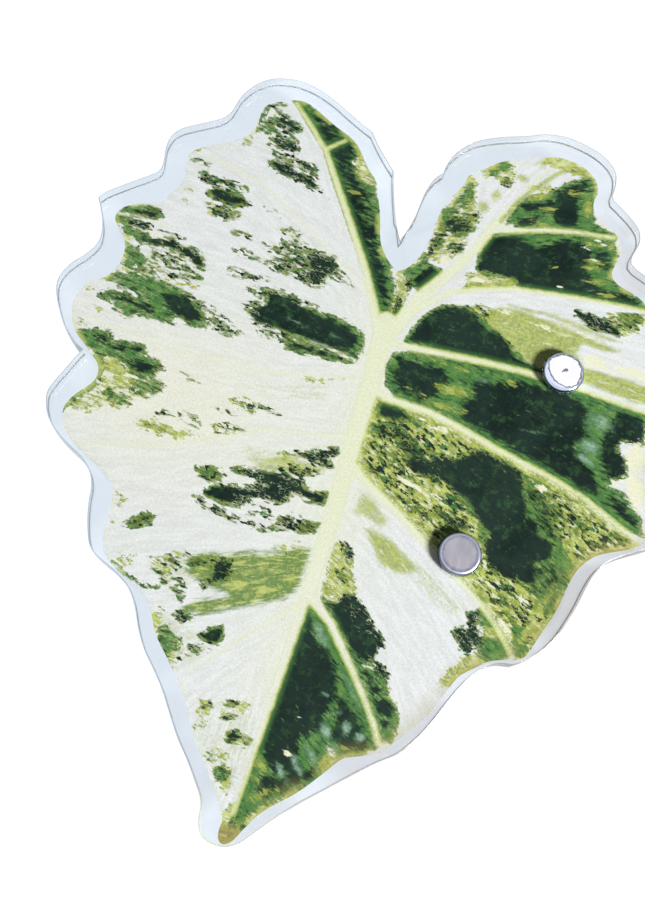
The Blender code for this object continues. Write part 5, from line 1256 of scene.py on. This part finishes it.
class LEAFMAGNET_OT_print(bpy.types.Operator):
    """Add the printed leaf with its veins and flecks"""
    bl_idname = "leafmagnet.print"
    bl_label = "Printed leaf"

    def execute(self, context):
        settings = context.scene.leaf_magnet.leaf
        obj = self.add_slab(settings, *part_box("leaf_print"))
        cutter = copy_of_node("leaf_print", "print_outline")
        edit_all()
        bpy.ops.transform.resize(value=(1, 1, CUTTER_HEIGHT))
        bpy.ops.object.mode_set(mode="OBJECT")
        make_active(obj)
        trim = obj.modifiers.new("trim", "BOOLEAN")
        trim.operation, trim.solver, trim.object = "INTERSECT", "EXACT", cutter
        bpy.ops.object.modifier_apply(modifier=trim.name)
        bpy.data.objects.remove(cutter)
        if len(obj.data.vertices) < FEWEST_POINTS:
            raise RuntimeError("the print could not be trimmed to its outline")
        self.keep_tones(obj)
        obj.data.materials.clear()
        obj.data.materials.append(leaf_material(settings))
        make_active(obj)
        round_off(30)
        settle(obj, "leaf_print")
        return {"FINISHED"}

    def add_slab(self, settings, low, high):
        """A thin slab that reaches just past the print, with a fine grid on both sides."""
        deselect_all()
        width, height = high.x - low.x, high.y - low.y
        columns, rows = round(width / settings.step), round(height / settings.step)
        bpy.ops.mesh.primitive_grid_add(x_subdivisions=columns, y_subdivisions=rows, size=1, location=(
            (low.x + high.x) / 2, (low.y + high.y) / 2, low.z - SINK), scale=(1, 1, 1))
        obj = bpy.context.object
        obj.name = obj.data.name = "printed_leaf"
        obj.scale = (width + MM, height + MM, 1)
        put_in_mesh(obj)
        edit_all()
        bpy.ops.mesh.extrude_region_move(TRANSFORM_OT_translate={"value": (0, 0, high.z - low.z + SINK)})
        bpy.ops.mesh.select_all(action="SELECT")
        bpy.ops.mesh.normals_make_consistent(inside=False)
        bpy.ops.object.mode_set(mode="OBJECT")
        return obj

    def keep_tones(self, obj):
        """Write the leaf's tones and the streaks' places on the mesh."""
        mesh = obj.data
        place = np.zeros(len(mesh.vertices) * 3, np.float32)
        mesh.vertices.foreach_get("co", place)
        points = place.reshape(-1, 3)[:, :2].astype(float) / MM + np.array(ZERO_MM)
        rim = np.min([polyline_reach(points, line)[0] for line in self.outline_of(mesh)], axis=0)
        values = {"rim_gap": rim, "rib_glow": np.exp(-polyline_reach(points, MIDRIB)[0] / RIB_FADE)}
        for measure, tones in ((vein_gaps, VEIN_TONES), (patch_tone, PATCH_TONES), (fleck_tone, FLECK_TONES)):
            values.update((name, measure(points, shapes)) for name, shapes in tones.items())
        for name, value in values.items():
            layer = mesh.attributes.new(name, "FLOAT", "POINT")
            layer.data.foreach_set("value", value.astype(np.float32))
        for name, value in (("streak", streak_places(points)), ("chip", chip_places(points))):
            layer = mesh.attributes.new(name, "FLOAT_VECTOR", "POINT")
            layer.data.foreach_set("vector", value.astype(np.float32).ravel())

    def outline_of(self, mesh):
        """Every third face of the print's wall, in mm, as a line between its two ends."""
        lines = []
        for face in mesh.polygons:
            if abs(face.normal.z) < UPRIGHT:
                ends = sorted(tuple(mesh.vertices[v].co.xy) for v in face.vertices)
                a, b = (np.array(end) / MM + np.array(ZERO_MM) for end in (ends[0], ends[-1]))
                if np.hypot(*(b - a)) > SHORTEST_WALL:
                    lines.append([tuple(a), tuple(b)])
        return lines[::3]


class LEAFMAGNET_OT_magnets(bpy.types.Operator):
    """Add the two disc magnets"""
    bl_idname = "leafmagnet.magnets"
    bl_label = "Magnets"

    def execute(self, context):
        settings = context.scene.leaf_magnet.magnet
        low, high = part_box("magnet_upper")
        centre, other = middle("magnet_upper"), middle("magnet_lower")
        deselect_all()
        bpy.ops.mesh.primitive_cylinder_add(vertices=96, radius=(high.x - low.x) / 2, depth=high.z - low.z,
                                            location=centre)
        upper = context.object
        upper.name = upper.data.name = "upper_magnet"
        put_in_mesh(upper)
        edit_some(upper, "FACE", lambda face: abs(face.normal.z) > FLAT)
        bpy.ops.mesh.region_to_loop()
        bpy.ops.mesh.bevel(offset=settings.edge, segments=5, affect="EDGES")
        edit_some(upper, "FACE", lambda face: abs(face.normal.z) > LEVEL)
        bpy.ops.mesh.inset(thickness=FACE_INSET, use_individual=True)
        round_off(50)
        lower = link_new("lower_magnet", upper.data.copy())
        lower.data.name = "lower_magnet"
        lower.location = other - centre
        put_in_mesh(lower)
        upper.data.materials.append(nickel_material("bright nickel", settings, centre, True, DARK_FACE_SPOTS))
        lower.data.materials.append(nickel_material("plain nickel", settings, other, False, ()))
        settle(upper, "magnet_upper")
        settle(lower, "magnet_lower")
        return {"FINISHED"}


class LEAFMAGNET_OT_glue(bpy.types.Operator):
    """Add the glue that is squeezed out round each magnet's foot"""
    bl_idname = "leafmagnet.glue"
    bl_label = "Glue"

    def execute(self, context):
        settings = context.scene.leaf_magnet.magnet
        material = glue_material()
        for name, new_name, bead in (("glue_upper", "upper_glue", settings.upper_bead),
                                     ("glue_lower", "lower_glue", settings.lower_bead)):
            obj = copy_of_node(name, new_name)
            obj.data.materials.append(material)
            edit_all()
            bpy.ops.mesh.quads_convert_to_tris()
            bpy.ops.object.mode_set(mode="OBJECT")
            self.pull_in(obj.data, bead, *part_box(name))
            round_off(60)
            settle(obj, name)
        return {"FINISHED"}

    def pull_in(self, mesh, bead, low, high):
        """Sink the film's foot into the print, and pull the bead in to its uneven reach."""
        centre, widest = (low + high) / 2, (high.x - low.x) / 2
        for vertex in mesh.vertices:
            away = Vector((vertex.co.x - centre.x, vertex.co.y - centre.y))
            if vertex.co.z < low.z + TOUCH:
                vertex.co.z -= GLUE_SINK
            if away.length > BEAD_START:
                angle = math.atan2(away.y, away.x) + bead / MM
                pull = bead / widest * (1 - BEAD_WOBBLE * (1 + math.sin(3 * angle) * math.cos(5 * angle)))
                vertex.co.x, vertex.co.y = centre.x + away.x * pull, centre.y + away.y * pull


class LEAFMAGNET_OT_stage(bpy.types.Operator):
    """Add the table, the light and the camera"""
    bl_idname = "leafmagnet.stage"
    bl_label = "Stage"

    def execute(self, context):
        settings = context.scene.leaf_magnet.stage
        self.add_table(settings)
        self.add_sky(context, settings)
        self.add_lamp(context, settings)
        self.add_card()
        self.add_camera(context)
        context.scene.view_settings.view_transform = "Standard"
        return {"FINISHED"}

    def add_table(self, settings):
        """A wide pale table top, white where the camera sees it bare, with a soft painted glow under the
        sheet.
        """
        table = flat_disc("table", TABLE_REACH, 96, (0, 0, -TABLE_DROP))
        n = new_material("pale table")
        place = n.object_place()
        x = n.add("SeparateXYZ", {0: place})
        shade = n.blend(n.step(n.noise(place, 9, 3.0, 0.5), 0.3, 0.7), settings.table,
                        [c * 0.985 for c in settings.table])
        matte = n.add("BsdfPrincipled", {"Base Color": shade, "Roughness": 0.8, "Specular IOR Level": 0.2})
        across = x - n.math("MAXIMUM", x.output("Y"), 0.0) * 0.5
        # painted light: a glow that is brighter under the shaded left side, with bright patches
        glow = n.blend(n.step(across, *WARM_SIDE), settings.cool_glow, settings.warm_glow)
        glow = n.blend(n.step(n.noise(place, 110, 2.0, 0.5), 0.45, 0.68) * 0.5, glow, GLOW_PATCHES)
        under = n.add("AddShader", {0: matte, 1: n.add("Emission", {"Color": glow})})
        white = n.add("Emission", {"Color": (1, 1, 1, 1), "Strength": BARE_TABLE})
        seen = n.add("LightPath", output="Is Camera Ray") * settings.whiteness
        table.data.materials.append(n.finish(n.add("MixShader", {0: seen, 1: under, 2: white})))

    def add_sky(self, context, settings):
        """Soft light from all round: full in reflections and through clear pieces, dim on matte ones."""
        world = bpy.data.worlds.new("studio")
        context.scene.world = world
        n = Nodes(world)
        path = n.add("LightPath", output="Is Camera Ray")
        clear = n.math("MAXIMUM", path.output("Is Transmission Ray"),
                       n.math("MAXIMUM", path, path.output("Is Glossy Ray")))
        strength = n.span(clear, 0, 1, settings.sky * settings.fill, settings.sky)
        height = n.add("SeparateXYZ", {0: n.add("TexCoord", output="Generated")}, "Z")
        sky = n.add("ValToRGB", {0: height})
        ramp = sky.socket.node.color_ramp
        ramp.elements[0].color, ramp.elements[1].color = SKY_LOW, SKY_TOP
        ramp.elements[1].position = SKY_TOP_FROM
        for place, shade in SKY_GREYS:
            ramp.elements.new(place).color = (shade, shade * 1.01, shade * 1.04, 1)
        n.finish(n.add("Background", {"Color": n.blend(path, sky, settings.backdrop), "Strength": strength}))

    def add_lamp(self, context, settings):
        """One soft lamp low at the right."""
        toward = Vector(TOWARD_LAMP).normalized()
        bpy.ops.object.light_add(type="AREA", location=toward * settings.key_distance)
        lamp = context.object
        lamp.name = "key lamp"
        lamp.data.shape, lamp.data.size = "DISK", settings.key_size
        lamp.data.energy, lamp.data.color = settings.key, LAMP_COLOUR
        lamp.rotation_mode = "QUATERNION"
        lamp.rotation_quaternion = toward.to_track_quat("Z", "Y")

    def add_card(self):
        """A grey card overhead, seen only as a reflection in the lower magnet."""
        card = flat_disc("grey card", CARD_REACH, 48, CARD_PLACE)
        n = new_material("grey card")
        fade = n.noise(n.object_place(), 30, 2.0, 0.5)
        shade = n.blend(n.step(fade, 0.3, 0.7), paint(184, 182, 190), paint(194, 190, 196))
        card.data.materials.append(n.finish(n.add("Emission", {"Color": shade})))
        card.visible_camera = card.visible_diffuse = card.visible_shadow = card.visible_transmission = False

    def add_camera(self, context):
        """Camera at the photograph's place."""
        turn = [math.radians(angle) for angle in CAMERA_TURN]
        bpy.ops.object.camera_add(location=CAMERA_PLACE, rotation=turn)
        camera = context.object
        camera.data.sensor_width = SENSOR
        camera.data.lens = SENSOR * CAMERA_REACH / PHOTO_HEIGHT
        camera.data.clip_start, camera.data.clip_end = CAMERA_SEES
        context.scene.camera = camera


class LEAFMAGNET_PT_panel(bpy.types.Panel):
    """Lists the leaf magnet's pieces"""
    bl_idname = "LEAFMAGNET_PT_panel"
    bl_label = "Leaf Magnet"
    bl_space_type = "VIEW_3D"
    bl_region_type = "UI"
    bl_category = "Leaf Magnet"

    def draw(self, context):
        for operator in PIECES:
            self.layout.operator(operator.bl_idname)
        for group in ("sheet", "leaf", "magnet", "stage"):
            settings = getattr(context.scene.leaf_magnet, group)
            box = self.layout.box()
            for name in settings.__annotations__:
                box.prop(settings, name)


PIECES = (LEAFMAGNET_OT_sheet, LEAFMAGNET_OT_print, LEAFMAGNET_OT_magnets, LEAFMAGNET_OT_glue,
          LEAFMAGNET_OT_stage)
CLASSES = (SheetSettings, PrintSettings, MagnetSettings, StageSettings, LeafMagnetSettings, *PIECES,
           LEAFMAGNET_PT_panel)


def register():
    for cls in CLASSES:
        bpy.utils.register_class(cls)
    bpy.types.Scene.leaf_magnet = PointerProperty(type=LeafMagnetSettings)


def unregister():
    del bpy.types.Scene.leaf_magnet
    for cls in reversed(CLASSES):
        bpy.utils.unregister_class(cls)


def main():
    register()
    bpy.ops.leafmagnet.sheet()
    bpy.ops.leafmagnet.print()
    bpy.ops.leafmagnet.magnets()
    bpy.ops.leafmagnet.glue()
    bpy.ops.leafmagnet.stage()


if __name__ == "__main__":
    main()
